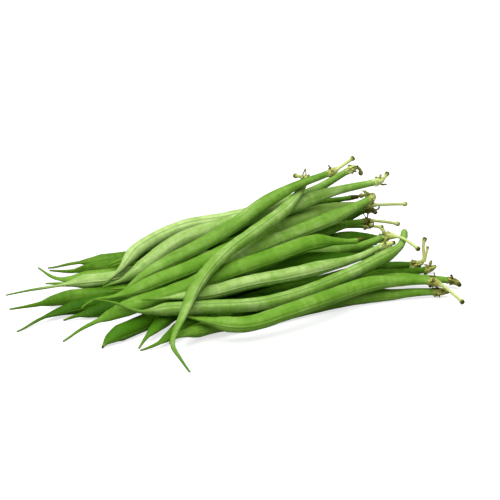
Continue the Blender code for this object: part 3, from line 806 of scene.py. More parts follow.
@dataclass
class TrimModels:
    """What caps carry, each a millimetre long along X."""

    leaflet: LeafForm = LeafForm(0.6, 0.3, 2.0)
    lobe: LeafForm = LeafForm(0.95, 0.12, 5.0)
    rows: int = 8
    columns: int = 4
    row_slack: float = 0.02
    side_from: float = 0.1
    root_width: float = 0.35
    widening: float = 1.5
    tip_width: float = 1.02
    cup: float = 0.10
    ruffle: float = 0.07
    thickness: float = 0.09
    thread_sides: int = 8
    curl_root: float = 0.3
    curl_radius: float = 0.36
    curl_thread: float = 0.075
    curl_sweep: float = 250.0
    curl_steps: int = 16
    stub_radius: float = 0.07
    stub_rings: tuple[Span, ...] = ((0.3, 0.85), (0.86, 0.85), (0.94, 1.2), (1.0, 0.9))

    def build(self) -> dict[TrimKind, bpy.types.Object]:
        """Models every kind."""
        return {
            TrimKind.LEAFLET: self.build_leaf("leaflet_model", self.leaflet),
            TrimKind.LOBE: self.build_leaf("lobe_model", self.lobe),
            TrimKind.CURL: self.build_curl(),
            TrimKind.STUB: self.build_stub(),
        }

    def build_leaf(self, name: str, form: LeafForm) -> bpy.types.Object:
        """Models a cupped leaf with ruffled edges and a tip that bends back.

        Args:
            name: The model's name.
            form: Its form.

        Returns:
            The model, with its rim marked for the finish.
        """
        deselect_all()
        bpy.ops.mesh.primitive_grid_add(
            x_subdivisions=self.rows, y_subdivisions=self.columns, size=MM, location=(MM / 2, 0, 0)
        )
        model = bpy.context.active_object
        model.name = name
        bpy.ops.object.transform_apply(location=True)
        keep_values(model.data, "rim", np.abs(read_places(model.data)[:, 1]) / (0.5 * MM))
        bpy.ops.object.mode_set(mode="EDIT")
        for row in range(self.rows + 1):
            self.shape_row(model, form, row)
        bpy.ops.object.mode_set(mode="OBJECT")
        bpy.ops.object.modifier_add(type="SOLIDIFY")
        model.modifiers[-1].thickness = self.thickness * MM
        bpy.ops.object.modifier_apply(modifier=model.modifiers[-1].name)
        return model

    def shape_row(self, model: bpy.types.Object, form: LeafForm, row: int) -> None:
        """Gives one row of a leaf its width, its bend and its cupped, ruffled sides."""
        share = row / self.rows
        place = share * MM

        def in_row(at: Vector) -> bool:
            """Says whether a vertex belongs to the row."""
            return abs(at.x - place) < self.row_slack * MM

        select_where(model, "VERT", in_row)
        wide = form.width * (self.root_width + self.widening * share)
        wide *= self.tip_width - share**form.point
        bpy.ops.transform.resize(value=(1.0, wide, 1.0), center_override=(place, 0.0, 0.0))
        bpy.ops.transform.translate(value=(0.0, 0.0, form.bend * share**2 * MM))
        select_where(model, "VERT", lambda at: in_row(at) and abs(at.y) > self.side_from * MM)
        lift = self.cup + self.ruffle * (-1) ** row
        bpy.ops.transform.translate(value=(0.0, 0.0, lift * MM))

    def end_thread(self, model: bpy.types.Object) -> bpy.types.Object:
        """Turns a thread's faces outward and marks it as having no rim."""
        face_outward()
        keep_values(model.data, "rim", np.zeros(len(model.data.vertices)))
        return model

    def build_stub(self) -> bpy.types.Object:
        """Models a straight bit of stalk with a blunt, swollen end."""
        model = start_disc("stub_model", self.thread_sides, self.stub_radius)
        before, wide = 0.0, 1.0
        for place, share in self.stub_rings:
            extrude_ring(place - before, share / wide)
            before, wide = place, share
        return self.end_thread(model)

    def build_curl(self) -> bpy.types.Object:
        """Models a dried thread that curls round on itself."""
        model = start_disc("curl_model", self.thread_sides, self.curl_thread)
        extrude_ring(self.curl_root)
        middle = (self.curl_root * MM, 0.0, self.curl_radius * MM)
        for _ in range(self.curl_steps):
            extrude_ring(0.0)
            bpy.ops.transform.rotate(
                value=math.radians(self.curl_sweep / self.curl_steps), orient_axis="Y",
                center_override=middle,
            )
        return self.end_thread(model)


@dataclass
class BeanMaker:
    """Makes each bean of the heap from copies of the models, in millimetres and degrees.

    A pair is a range that a lobe's value is drawn from, or the distances before and after a mark
    over which a form fades in or out.
    """

    growth: Growth
    pod: PodModel
    trims: TrimModels
    fit: float = 0.97
    pod_lead: float = 0.35
    pod_trail: float = 0.3
    pod_rise: Span = (-6.0, 6.0)
    pod_fall: Span = (-8.0, 4.0)
    seed_spacing: float = 12.0
    seed_drift: float = 0.14
    seed_reach: float = 3.6
    seed_height: Span = (0.55, 1.15)
    seed_level: float = 0.75
    seed_swell: float = 0.05
    cheek_power: float = 1.5
    seam_ridge: float = 0.02
    ridge_width: float = 0.07
    seam_groove: float = 0.045
    groove_place: float = 0.2
    groove_width: float = 0.1
    seam_gather: float = 0.2
    seam_fall: float = 2.0
    waves: tuple[tuple[int, int, float], ...] = ((31, 1, 0.008), (17, 2, 0.007), (9, 3, 0.005))
    wave_sink: float = 0.01
    cap_ruck: float = 0.11
    ruck_turns: tuple[int, int] = (5, 2)
    ruck_waves: Span = (1.7, -3.3)
    ruck_fall: Span = (-0.4, 0.6)
    body_flatness: float = 0.08
    flat_trail: float = 0.25
    beak_roundness: float = 0.6
    knob_dryness: float = 0.95
    dry_marks: tuple[float, ...] = (0.6, 1.6, 2.8, 3.1, 5.0, 6.0, 9.6, 10.4)
    lobes: int = 6
    lobe_drift: Span = (-20.0, 20.0)
    lobe_lean: Span = (-6.0, 24.0)
    lobe_length: Span = (0.8, 1.3)
    lobe_dryness: Span = (-0.4, 0.1)
    lobe_shift: Span = (0.0, 1.8)
    lobe_root: float = 0.95
    stub_root: float = 0.3
    leaf_root: float = 0.75
    trim_zone: float = 0.3
    rim_darkening: float = 0.5
    neck_span: Span = (0.2, 0.6)
    offset_step: float = 200.0
    smooth_angle: float = 38.0
    guide_order: int = 4
    guide_steps: int = 6

    def __post_init__(self) -> None:
        """Builds the models that the beans are copied from."""
        self.pod_model = self.pod.build()
        self.trim_models = self.trims.build()

    def make(self, name: str, bean: Bean, length: float, line: np.ndarray) -> bpy.types.Object:
        """Makes one bean.

        Args:
            name: The node that it stands for.
            bean: Its sizes and looks.
            length: Its whole length.
            line: Its settled centre-line.

        Returns:
            The finished bean, with its place in its mesh.
        """
        chance = random.Random(name)
        piece = own_copy(self.pod_model, name.replace("bean_", "green_bean_"))
        self.shape_pod(piece.data, bean, length, chance)
        parts = [self.place_trim(item, bean) for item in self.trim_of(bean, chance)]
        self.join(piece, parts)
        self.keep_tone_and_shade(piece.data, bean, length)
        self.shift_pattern(piece.data, self.offset_step * MM * (1 + list(BEANS).index(name)))
        self.bend(piece, line, length)
        make_active(piece)
        bpy.ops.object.shade_smooth_by_angle(angle=math.radians(self.smooth_angle))
        return piece

    def trim_of(self, bean: Bean, chance: random.Random) -> list[Trim]:
        """Gives what grows at a bean's cap: its own trim, and a ruffled ring of lobes."""
        if bean.cap_dryness in (0.0, 1.0):
            return list(bean.trim)
        ring = [
            Trim(
                TrimKind.LOBE,
                turn=360 * lobe / self.lobes + chance.uniform(*self.lobe_drift),
                lean=chance.uniform(*self.lobe_lean),
                length=bean.cap * chance.uniform(*self.lobe_length),
                dryness=bean.cap_dryness + chance.uniform(*self.lobe_dryness),
                shift=chance.uniform(*self.lobe_shift),
            )
            for lobe in range(self.lobes)
        ]
        return ring + list(bean.trim)

    def shape_pod(
        self, mesh: bpy.types.Mesh, bean: Bean, length: float, chance: random.Random
    ) -> None:
        """Gives a copy of the straight bean its own lengths, swellings, seams and flat end.

        Args:
            mesh: The copy's mesh, straight along X.
            bean: The bean's sizes and looks.
            length: Its whole length.
            chance: The bean's own chance.
        """
        places = read_places(mesh) / MM
        marks = self.growth.marks(bean, length)
        along = np.interp(places[:, 0], self.pod.marks, marks)
        wide = np.interp(along, *self.growth.girth(bean, length))
        across = np.hypot(places[:, 1], places[:, 2]) * (
            wide / self.pod.radius_at(places[:, 0]) * self.fit
        )
        turn = np.arctan2(places[:, 2], places[:, 1])
        turn = turn + self.seam_gather * np.sin(2 * turn)
        pod_start = marks[Mark.POD] - self.pod_lead * bean.neck
        pod_end = marks[Mark.BEAK] - self.pod_trail * bean.taper
        in_pod = self.between(along, pod_start, self.pod_rise, pod_end, self.pod_fall)
        swell = self.seed_swells(along, pod_start, pod_end, chance) - self.seed_level
        form = 1 + self.seed_swell * swell * in_pod * np.abs(np.cos(turn)) ** self.cheek_power
        form += bean.crease * self.seam_relief(along, turn, marks)
        past_lip = self.rise(along, marks[Mark.LIP], marks[Mark.NECK])
        form *= 1 + self.unevenness(along, turn, chance) * past_lip
        form *= 1 + self.cap_rucks(along, turn, marks, chance) * (bean.cap_dryness > 0)
        flat = self.body_flatness * in_pod + bean.flatness * self.flat_end(along, bean, marks)
        side = across * np.cos(turn) * form * (1 - flat)
        up = across * np.sin(turn) * form
        keep_values(mesh, "straight", np.stack([along, side, up], axis=1) * MM)
        self.keep_growth(mesh, bean, np.interp(along, marks, np.arange(len(marks))))
        wound = np.radians(bean.roll + bean.twist * along / length)
        turned_side = side * np.cos(wound) - up * np.sin(wound)
        turned_up = side * np.sin(wound) + up * np.cos(wound)
        write_places(mesh, np.stack([along, turned_side, turned_up], axis=1) * MM)

    @staticmethod
    def rise(value: np.ndarray, low: float, high: float) -> np.ndarray:
        """Goes smoothly from 0 at the low value to 1 at the high one."""
        share = np.clip((value - low) / (high - low), 0.0, 1.0)
        return share * share * (3 - 2 * share)

    def between(
        self, along: np.ndarray, start: float, fade_in: Span, end: float, fade_out: Span
    ) -> np.ndarray:
        """Gives 1 between two places along a bean and 0 beyond them.

        Args:
            along: Distances along the bean.
            start: The first place.
            fade_in: Where the rise begins and ends, from the first place.
            end: The second place.
            fade_out: Where the fall begins and ends, from the second place.

        Returns:
            The share at each distance.
        """
        rising = self.rise(along, start + fade_in[0], start + fade_in[1])
        return rising * (1 - self.rise(along, end + fade_out[0], end + fade_out[1]))

    def seed_swells(
        self, along: np.ndarray, start: float, end: float, chance: random.Random
    ) -> np.ndarray:
        """Gives a swelling over each seed, at slightly uneven distances.

        Args:
            along: Distances along the bean.
            start: Where the seeds start.
            end: Where they end.
            chance: The bean's own chance.

        Returns:
            A height from 0 to about 1 at each distance.
        """
        count = max(3, round((end - start) / self.seed_spacing))
        swell = np.zeros_like(along)
        for seed in range(count):
            drift = chance.uniform(-self.seed_drift, self.seed_drift)
            middle = start + (end - start) * (seed + 0.5 + drift) / count
            height = chance.uniform(*self.seed_height)
            bump = height * np.exp(-(((along - middle) / self.seed_reach) ** 2))
            swell = np.maximum(swell, bump)
        return swell

    def seam_relief(self, along: np.ndarray, turn: np.ndarray, marks: np.ndarray) -> np.ndarray:
        """Gives the fine ridge of each seam and the grooves beside it, as a share of the radius."""
        beside = np.abs(np.cos(turn))
        ridge = self.seam_ridge * np.exp(-((beside / self.ridge_width) ** 2))
        groove = np.exp(-(((beside - self.groove_place) / self.groove_width) ** 2))
        rising = self.rise(along, marks[Mark.LIP], marks[Mark.POD])
        falling = self.rise(along, marks[Mark.BEAK] - self.seam_fall, marks[Mark.BEAK_MIDDLE])
        return (ridge - self.seam_groove * groove) * rising * (1 - falling)

    def unevenness(
        self, along: np.ndarray, turn: np.ndarray, chance: random.Random
    ) -> np.ndarray:
        """Gives slow, shallow waves along and round the pod, as a grown thing has.

        Args:
            along: Distances along the bean.
            turn: Angles round it, in radians.
            chance: The bean's own chance.

        Returns:
            A share of the radius, a hundredth or two either way.
        """
        total = np.zeros_like(along)
        for length, turns, height in self.waves:
            phase, lag = chance.uniform(0, math.tau), chance.uniform(0, math.tau)
            total += height * np.sin(along * math.tau / length + phase) * np.cos(turns * turn + lag)
        return total - self.wave_sink

    def cap_rucks(
        self, along: np.ndarray, turn: np.ndarray, marks: np.ndarray, chance: random.Random
    ) -> np.ndarray:
        """Gives the crumples of the cap, as a share of its radius."""
        width = (0.0, marks[Mark.CAP] - marks[Mark.STALK_END])
        rucks = self.cap_ruck * self.between(
            along, marks[Mark.STALK_END], width, marks[Mark.LIP], self.ruck_fall)
        for turns, wave in zip(self.ruck_turns, self.ruck_waves):
            rucks *= np.sin(turns * turn + wave * along + chance.uniform(0, math.tau))
        return rucks

    def flat_end(self, along: np.ndarray, bean: Bean, marks: np.ndarray) -> np.ndarray:
        """Gives how far a bean's end is flattened, less again along the beak."""
        flat_from = marks[Mark.BEAK] - self.flat_trail * bean.taper
        rounding = self.rise(along, marks[Mark.BEAK], marks[Mark.BEAK_MIDDLE])
        flattened = self.rise(along, marks[Mark.TAPER], flat_from)
        return flattened * (1 - self.beak_roundness * rounding)

    def keep_growth(self, mesh: bpy.types.Mesh, bean: Bean, mark: np.ndarray) -> None:
        """Keeps what the finishes need to know of a bean's growth.

        Args:
            mesh: The bean's mesh.
            bean: The bean.
            mark: How many marks each vertex is from the cut end.
        """
        knob = max(bean.stalk_dryness, self.knob_dryness * (bean.cap_dryness > 0))
        stalk, cap = bean.stalk_dryness, bean.cap_dryness
        dryness = (knob, stalk, stalk, cap, cap, 0.0, 0.0, bean.tip_dryness)
        keep_values(mesh, "zone", mark / Mark.TIP)
        keep_values(mesh, "dryness", np.interp(mark, self.dry_marks, dryness))
        keep_values(mesh, "skin_from", np.full(len(mark), bean.skin_from))

    def place_trim(self, item: Trim, bean: Bean) -> bpy.types.Object:
        """Copies what grows at a cap to its place on the straight bean.

        Args:
            item: What grows there.
            bean: The bean.

        Returns:
            The copy, with its place in its mesh.
        """
        part = own_copy(self.trim_models[item.kind], item.kind.value)
        mesh = part.data
        turn, lean = math.radians(item.turn), math.radians(item.lean)
        out = Vector((0.0, math.cos(turn), math.sin(turn)))
        along = Vector((1.0, 0.0, 0.0))
        forward = along * math.cos(lean) + out * math.sin(lean)
        upward = out * math.cos(lean) - along * math.sin(lean)
        turned = Matrix((forward, upward.cross(forward), upward)).transposed().to_4x4()
        roots = {TrimKind.LOBE: self.lobe_root, TrimKind.STUB: self.stub_root}
        out_at = roots.get(item.kind, self.leaf_root) * bean.cap
        root = along * (bean.stalk + item.shift) * MM + out * out_at * MM
        mesh.transform(Matrix.Translation(root) @ turned @ Matrix.Scale(item.length, 4))
        rim = read_values(mesh, "rim")
        mesh.attributes.remove(mesh.attributes["rim"])
        keep_values(mesh, "straight", read_places(mesh))
        keep_values(mesh, "zone", np.full(len(rim), self.trim_zone))
        # Lobes and leaflets grow darker and browner towards their rims
        keep_values(mesh, "dryness", item.dryness + self.rim_darkening * rim**2)
        keep_values(mesh, "skin_from", np.ones(len(rim)))
        return part

    def join(self, piece: bpy.types.Object, parts: list[bpy.types.Object]) -> None:
        """Joins a bean and what grows at its cap into one object."""
        if not parts:
            return
        make_active(piece)
        for part in parts:
            part.select_set(True)
        bpy.ops.object.join()

    def keep_tone_and_shade(self, mesh: bpy.types.Mesh, bean: Bean, length: float) -> None:
        """Keeps how pale a bean is, and how much that changes towards its stalk: its own colour
        together with its painted shade and painted light.
        """
        along = read_values(mesh, "straight")[:, 0] / MM
        near_stalk = 1 - self.rise(along / length, *self.neck_span)
        keep_values(mesh, "paleness", bean.paleness + bean.tone - bean.neck_tone_and_shade * near_stalk)

    def shift_pattern(self, mesh: bpy.types.Mesh, shift: float) -> None:
        """Moves a bean's pattern along, so that no two beans have the same."""
        keep_values(mesh, "straight", read_values(mesh, "straight") + (shift, 0.0, 0.0))

    def bend(self, piece: bpy.types.Object, line: np.ndarray, length: float) -> None:
        """Bends a straight bean along its centre-line and rests it on the table.

        Args:
            piece: The straight bean.
            line: Its settled centre-line.
            length: The straight bean's length.
        """
        places = read_places(piece.data)
        places[:, 0] *= np.linalg.norm(np.diff(line, axis=0), axis=1).sum() / length
        write_places(piece.data, places)
        deselect_all()
        bpy.ops.curve.primitive_nurbs_path_add()
        guide = bpy.context.active_object
        guide.data.twist_mode = "Z_UP"
        guide.data.use_deform_bounds = False
        guide.data.use_stretch = False
        spline = guide.data.splines[0]
        spline.points.add(len(line) - len(spline.points))
        for point, place in zip(spline.points, line):
            point.co = (*(place * MM), 1.0)
        spline.order_u = self.guide_order
        spline.use_endpoint_u = True
        spline.resolution_u = self.guide_steps
        guide.data.resolution_u = self.guide_steps
        make_active(piece)
        bpy.ops.object.modifier_add(type="CURVE")
        piece.modifiers[-1].object = guide
        piece.modifiers[-1].deform_axis = "POS_X"
        bpy.ops.object.modifier_apply(modifier=piece.modifiers[-1].name)
        bpy.data.objects.remove(guide, do_unlink=True)
        places = read_places(piece.data)
        places[:, 2] = np.maximum(places[:, 2], 0.0)
        write_places(piece.data, places)

    def clear_models(self) -> None:
        """Takes away the models, once every bean is copied."""
        for model in (self.pod_model, *self.trim_models.values()):
            bpy.data.objects.remove(model, do_unlink=True)


# The numbers of the Mix node's two inputs, for colours and for plain numbers
MIX_COLOURS = (6, 7)
MIX_NUMBERS = (2, 3)


class NodeBench:
    """Adds shader nodes to one tree and joins them, so that a finish reads as a recipe."""

    def __init__(self, tree: bpy.types.NodeTree) -> None:
        """Starts on a tree."""
        self.tree = tree

    def give(self, node: Any, values: dict[Any, Any]) -> Any:
        """Sets a node's inputs.

        Args:
            node: The node.
            values: For each input, by name or number, a value or a socket to join it to.

        Returns:
            The node.
        """
        for key, value in values.items():
            if isinstance(value, bpy.types.NodeSocket):
                self.tree.links.new(value, node.inputs[key])
            else:
                node.inputs[key].default_value = value
        return node

    def add(self, kind: str, values: dict[Any, Any] | None = None, **settings: Any) -> Any:
        """Adds a node.

        Args:
            kind: The node's type.
            values: What its inputs are given.
            **settings: The node's own settings.

        Returns:
            The node.
        """
        node = self.tree.nodes.new(kind)
        for name, value in settings.items():
            setattr(node, name, value)
        return self.give(node, values or {})

    def math(self, operation: str, *values: Any) -> Any:
        """Works out a number from one or more values or sockets."""
        return self.add("ShaderNodeMath", dict(enumerate(values)), operation=operation).outputs[0]

    def rise(self, value: Any, low: float, high: float) -> Any:
        """Goes smoothly from 0 at the low value to 1 at the high one."""
        values = {"Value": value, "From Min": low, "From Max": high}
        node = self.add("ShaderNodeMapRange", values, interpolation_type="SMOOTHSTEP")
        return node.outputs[0]

    def grain(
        self, vector: Any, length: float, width: float, detail: float = 2.0, roughness: float = 0.5
    ) -> Any:
        """Gives noise whose features have a length along X and a width across it.

        Args:
            vector: The place's socket, in metres.
            length: How long a feature is.
            width: How wide it is.
            detail: How many finer layers it has.
            roughness: How strong they are.

        Returns:
            The noise's socket, from 0 to 1.
        """
        scales = (1 / length, 1 / width, 1 / width)
        scaled = self.add("ShaderNodeVectorMath", {0: vector, 1: scales}, operation="MULTIPLY")
        return self.add("ShaderNodeTexNoise", {
            "Vector": scaled.outputs[0], "Scale": 1.0, "Detail": detail, "Roughness": roughness,
        }).outputs["Fac"]

    def blend(self, share: Any, first: Any, second: Any) -> Any:
        """Blends two colours, by the share of the second one. Either may be a socket."""
        colours = {0: share}
        for key, colour in zip(MIX_COLOURS, (first, second)):
            plain = not isinstance(colour, bpy.types.NodeSocket)
            colours[key] = (*colour, 1.0) if plain else colour
        return self.add("ShaderNodeMix", colours, data_type="RGBA").outputs[2]

    def value_blend(self, share: Any, first: Any, second: Any) -> Any:
        """Blends two numbers, by the share of the second one."""
        values = {0: share, **dict(zip(MIX_NUMBERS, (first, second)))}
        node = self.add("ShaderNodeMix", values, data_type="FLOAT")
        return node.outputs[0]


def new_group(
    name: str, inputs: dict[str, str], outputs: dict[str, str]
) -> tuple[bpy.types.NodeTree, Any, Any]:
    """Starts a node group with named inputs and outputs.

    Args:
        name: The group's name.
        inputs: The kind of each input socket, by name.
        outputs: The kind of each output socket, by name.

    Returns:
        The group, its input node and its output node.
    """
    group = bpy.data.node_groups.new(name, "ShaderNodeTree")
    for direction, sockets in (("INPUT", inputs), ("OUTPUT", outputs)):
        for socket, kind in sockets.items():
            group.interface.new_socket(socket, in_out=direction, socket_type=kind)
    return group, group.nodes.new("NodeGroupInput"), group.nodes.new("NodeGroupOutput")


FLOAT, COLOUR, VECTOR = "NodeSocketFloat", "NodeSocketColor", "NodeSocketVector"
SURFACE = {"Color": COLOUR, "Roughness": FLOAT, "Height": FLOAT}


@dataclass(frozen=True)
class PodSurface:
    """The pattern of a waxy pod: streaks, blotches, cross bands, fine wrinkles, specks and seams,
    whose dark line is partly painted shade in the seam's crease.

    Lengths are in metres on the straight bean, and a grain has a length and a width. The tones
    go from 0, deep, to 1, pale, and the zones from 0 at the stalk's cut end to 1 at the tip.
    """

    streak: Span = (0.022, 0.0016)
    wrinkle: Span = (0.00042, 0.003)
    mottle: Span = (0.0036, 0.0018)
    band: Span = (0.0017, 0.007)
    blotch: Span = (0.014, 0.014)
    speck: Span = (0.0011, 0.0011)
    streak_share: float = 0.5
    mottle_share: float = 0.45
    band_share: float = 0.3
    blotch_share: float = 0.8
    body_tone: Span = (-0.1, 0.5)
    light_tone: Span = (0.35, 1.15)
    tip_zone: Span = (0.74, 0.99)
    seam_start: Span = (0.5, 0.62)
    seam_end: Span = (0.76, 0.84)
    seam_line: Span = (0.00012, 0.0003)
    seam_margin: Span = (0.0003, 0.0011)
    seam_and_crease_shade_share: float = 0.38
    margin_share: float = 0.16
    speck_rise: Span = (0.735, 0.79)
    speck_share: float = 0.5
    wrinkle_grain: float = 0.6
    wrinkle_height: float = 0.35
    streak_height: float = 0.65
    line_depth: float = 0.5
    roughness: float = 0.36
    wrinkle_roughness: float = 0.16
    blotch_roughness: float = 0.12

    def build(self) -> bpy.types.NodeTree:
        """Builds the group that the three depths of green share."""
        inputs = {"Straight": VECTOR, "Zone": FLOAT, "Paleness": FLOAT, "Light": COLOUR,
                  "Body": COLOUR, "Shade": COLOUR, "Tip": COLOUR, "Seam": COLOUR}
        group, given, result = new_group("pod_surface", inputs, SURFACE)
        bench = NodeBench(group)
        straight, zone, paleness, light, body, shade, tip, seam = (
            given.outputs[key] for key in inputs
        )
        streak = bench.grain(straight, *self.streak, 3.0)
        wrinkle = bench.grain(straight, *self.wrinkle, roughness=self.wrinkle_grain)
        blotch = bench.grain(straight, *self.blotch)
        specks = bench.grain(straight, *self.speck, 1.0)
        mottle = bench.grain(straight, *self.mottle)
        band = bench.grain(straight, *self.band, 1.0)
        # The paleness carries each bean's painted shade and painted light as well as its own colour
        tone = paleness
        for pattern, share in (
            (blotch, self.blotch_share), (streak, self.streak_share),
            (mottle, self.mottle_share), (band, self.band_share),
        ):
            even = bench.math("SUBTRACT", tone, share / 2)
            tone = bench.math("MULTIPLY_ADD", pattern, share, even)
        colour = bench.blend(bench.rise(tone, *self.body_tone), shade, body)
        colour = bench.blend(bench.rise(tone, *self.light_tone), colour, light)
        colour = bench.blend(bench.rise(zone, *self.tip_zone), colour, tip)
        sideways = bench.add("ShaderNodeSeparateXYZ", {0: straight}).outputs["Y"]
        across = bench.math("ABSOLUTE", sideways)
        on_seam = bench.math(
            "SUBTRACT", bench.rise(zone, *self.seam_start), bench.rise(zone, *self.seam_end))
        margin, line = (
            bench.math("MULTIPLY", on_seam, bench.math("SUBTRACT", 1.0, bench.rise(across, *reach)))
            for reach in (self.seam_margin, self.seam_line)
        )
        # The dark seam line is partly the seam's own colour and partly painted shade in its crease;
        # the specks are real
        for share, mask, paint in (
            (self.margin_share, margin, light), (self.seam_and_crease_shade_share, line, seam),
            (self.speck_share, bench.rise(specks, *self.speck_rise), seam),
        ):
            colour = bench.blend(bench.math("MULTIPLY", mask, share), colour, paint)
        height = bench.math("MULTIPLY", streak, self.streak_height)
        height = bench.math("MULTIPLY_ADD", wrinkle, self.wrinkle_height, height)
        height = bench.math("MULTIPLY_ADD", line, -self.line_depth, height)
        rough = bench.math("MULTIPLY_ADD", wrinkle, self.wrinkle_roughness, self.roughness)
        rough = bench.math("MULTIPLY_ADD", blotch, self.blotch_roughness, rough)
        bench.give(result, {"Color": colour, "Roughness": rough, "Height": height})
        return group


@dataclass(frozen=True)
class StalkSurface:
    """The fibrous skin of stalks, caps and leaflets, from fresh yellow-green to dried brown."""

    fibre: Span = (0.004, 0.0003)
    mottle: Span = (0.0009, 0.0009)
    mottle_share: float = 0.9
    mottle_grain: float = 0.6
    fibre_share: float = 0.3
    olive_age: Span = (0.05, 0.5)
    brown_age: Span = (0.45, 0.95)
    fresh: Colour = (0.55, 0.66, 0.24)
    olive: Colour = (0.36, 0.37, 0.085)
    brown: Colour = (0.050, 0.052, 0.006)
    height: float = 0.6
    roughness: float = 0.5
    dry_roughness: float = 0.2

    def build(self) -> bpy.types.NodeTree:
        """Builds the group that the three depths of green share."""
        group, given, result = new_group(
            "stalk_surface", {"Straight": VECTOR, "Dryness": FLOAT}, SURFACE)
        bench = NodeBench(group)
        straight, age = given.outputs["Straight"], given.outputs["Dryness"]
        fibre = bench.grain(straight, *self.fibre)
        mottle = bench.grain(straight, *self.mottle, 3.0, self.mottle_grain)
        for pattern, share in ((mottle, self.mottle_share), (fibre, self.fibre_share)):
            even = bench.math("SUBTRACT", age, share / 2)
            age = bench.math("MULTIPLY_ADD", pattern, share, even)
        colour = bench.blend(bench.rise(age, *self.olive_age), self.fresh, self.olive)
        colour = bench.blend(bench.rise(age, *self.brown_age), colour, self.brown)
        height = bench.math("MULTIPLY", fibre, self.height)
        height = bench.math("MULTIPLY_ADD", mottle, self.height, height)
        rough = bench.math("MULTIPLY_ADD", age, self.dry_roughness, self.roughness)
        bench.give(result, {"Color": colour, "Roughness": rough, "Height": height})
        return group


@dataclass(frozen=True)
class SkinFinish:
    """The finish of the beans of one depth of green."""

    light: Colour
    body: Colour
    shade: Colour
    tip: Colour
    # The dark seam line, partly painted crease shade, and the specks
    seam: Colour
    bump: float = 0.35
    bump_depth: float = 0.00012
    specular: float = 0.06
    skin_edge: float = 0.003
    tip_zone: Span = (0.86, 0.88)
    tip_dryness: Span = (0.3, 0.9)

    def build(
        self, name: str, pod: bpy.types.NodeTree, stalk: bpy.types.NodeTree
    ) -> bpy.types.Material:
        """Builds the material.

        Args:
            name: The material's name.
            pod: The pod's surface group.
            stalk: The stalk's surface group.

        Returns:
            The material.
        """
        material = bpy.data.materials.new(name)
        material.use_nodes = True
        bench = NodeBench(material.node_tree)
        straight = bench.add("ShaderNodeAttribute", attribute_name="straight").outputs["Vector"]
        zone, dryness, paleness, skin_from = (
            bench.add("ShaderNodeAttribute", attribute_name=kept).outputs["Fac"]
            for kept in ("zone", "dryness", "paleness", "skin_from")
        )
        colours = {"Light": self.light, "Body": self.body, "Shade": self.shade,
                   "Tip": self.tip, "Seam": self.seam}
        skin = bench.add("ShaderNodeGroup", node_tree=pod)
        bench.give(skin, {"Straight": straight, "Zone": zone, "Paleness": paleness})
        bench.give(skin, {key: (*colour, 1.0) for key, colour in colours.items()})
        stem = bench.add("ShaderNodeGroup", node_tree=stalk)
        bench.give(stem, {"Straight": straight, "Dryness": dryness})
        past_start = bench.math("SUBTRACT", zone, skin_from)
        dried_tip = bench.math(
            "MULTIPLY", bench.rise(zone, *self.tip_zone), bench.rise(dryness, *self.tip_dryness))
        on_pod = bench.math(
            "SUBTRACT", bench.rise(past_start, -self.skin_edge, self.skin_edge), dried_tip)
        colour = bench.blend(on_pod, stem.outputs["Color"], skin.outputs["Color"])
        rough, height = (
            bench.value_blend(on_pod, stem.outputs[key], skin.outputs[key])
            for key in ("Roughness", "Height")
        )
        bump = bench.add("ShaderNodeBump", {
            "Strength": self.bump, "Distance": self.bump_depth, "Height": height})
        bench.give(material.node_tree.nodes["Principled BSDF"], {
            "Base Color": colour, "Roughness": rough, "Normal": bump.outputs[0],
            "Specular IOR Level": self.specular})
        return material


FINISHES: dict[Slot, SkinFinish] = {
    Slot.PALE: SkinFinish(
        light=(0.46, 0.62, 0.23), body=(0.170, 0.335, 0.044), shade=(0.066, 0.180, 0.010),
        tip=(0.092, 0.215, 0.013), seam=(0.045, 0.13, 0.005)),
    Slot.GREEN: SkinFinish(
        light=(0.30, 0.48, 0.10), body=(0.122, 0.280, 0.022), shade=(0.050, 0.158, 0.005),
        tip=(0.11, 0.24, 0.014), seam=(0.03, 0.10, 0.004)),
    Slot.DEEP: SkinFinish(
        light=(0.18, 0.34, 0.040), body=(0.070, 0.185, 0.009), shade=(0.030, 0.104, 0.003),
        tip=(0.09, 0.19, 0.009), seam=(0.018, 0.06, 0.002)),
}


@dataclass
class Bundle:
    """The whole heap of beans, dressed and set on the frame."""

    beans: dict[str, Bean]
    growth: Growth = field(default_factory=Growth)

    def build(self) -> None:
        """Makes every bean, gives it its finish and ties it to the frame."""
        heap = Heap(self.beans, self.growth)
        heap.lay()
        pod, stalk = PodSurface().build(), StalkSurface().build()
        skins = {slot: made.build(slot.value, pod, stalk) for slot, made in FINISHES.items()}
        maker = BeanMaker(self.growth, PodModel(self.growth), TrimModels())
        for name, bean in self.beans.items():
            piece = maker.make(name, bean, heap.lengths[name], heap.lines[name])
            piece.data.materials.clear()
            piece.data.materials.append(skins[bean.slot])
            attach(piece, "root")
            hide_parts(name)
            LOG.info("%s: %d faces, %s", piece.name, len(piece.data.polygons), bean.slot.value)
        maker.clear_models()


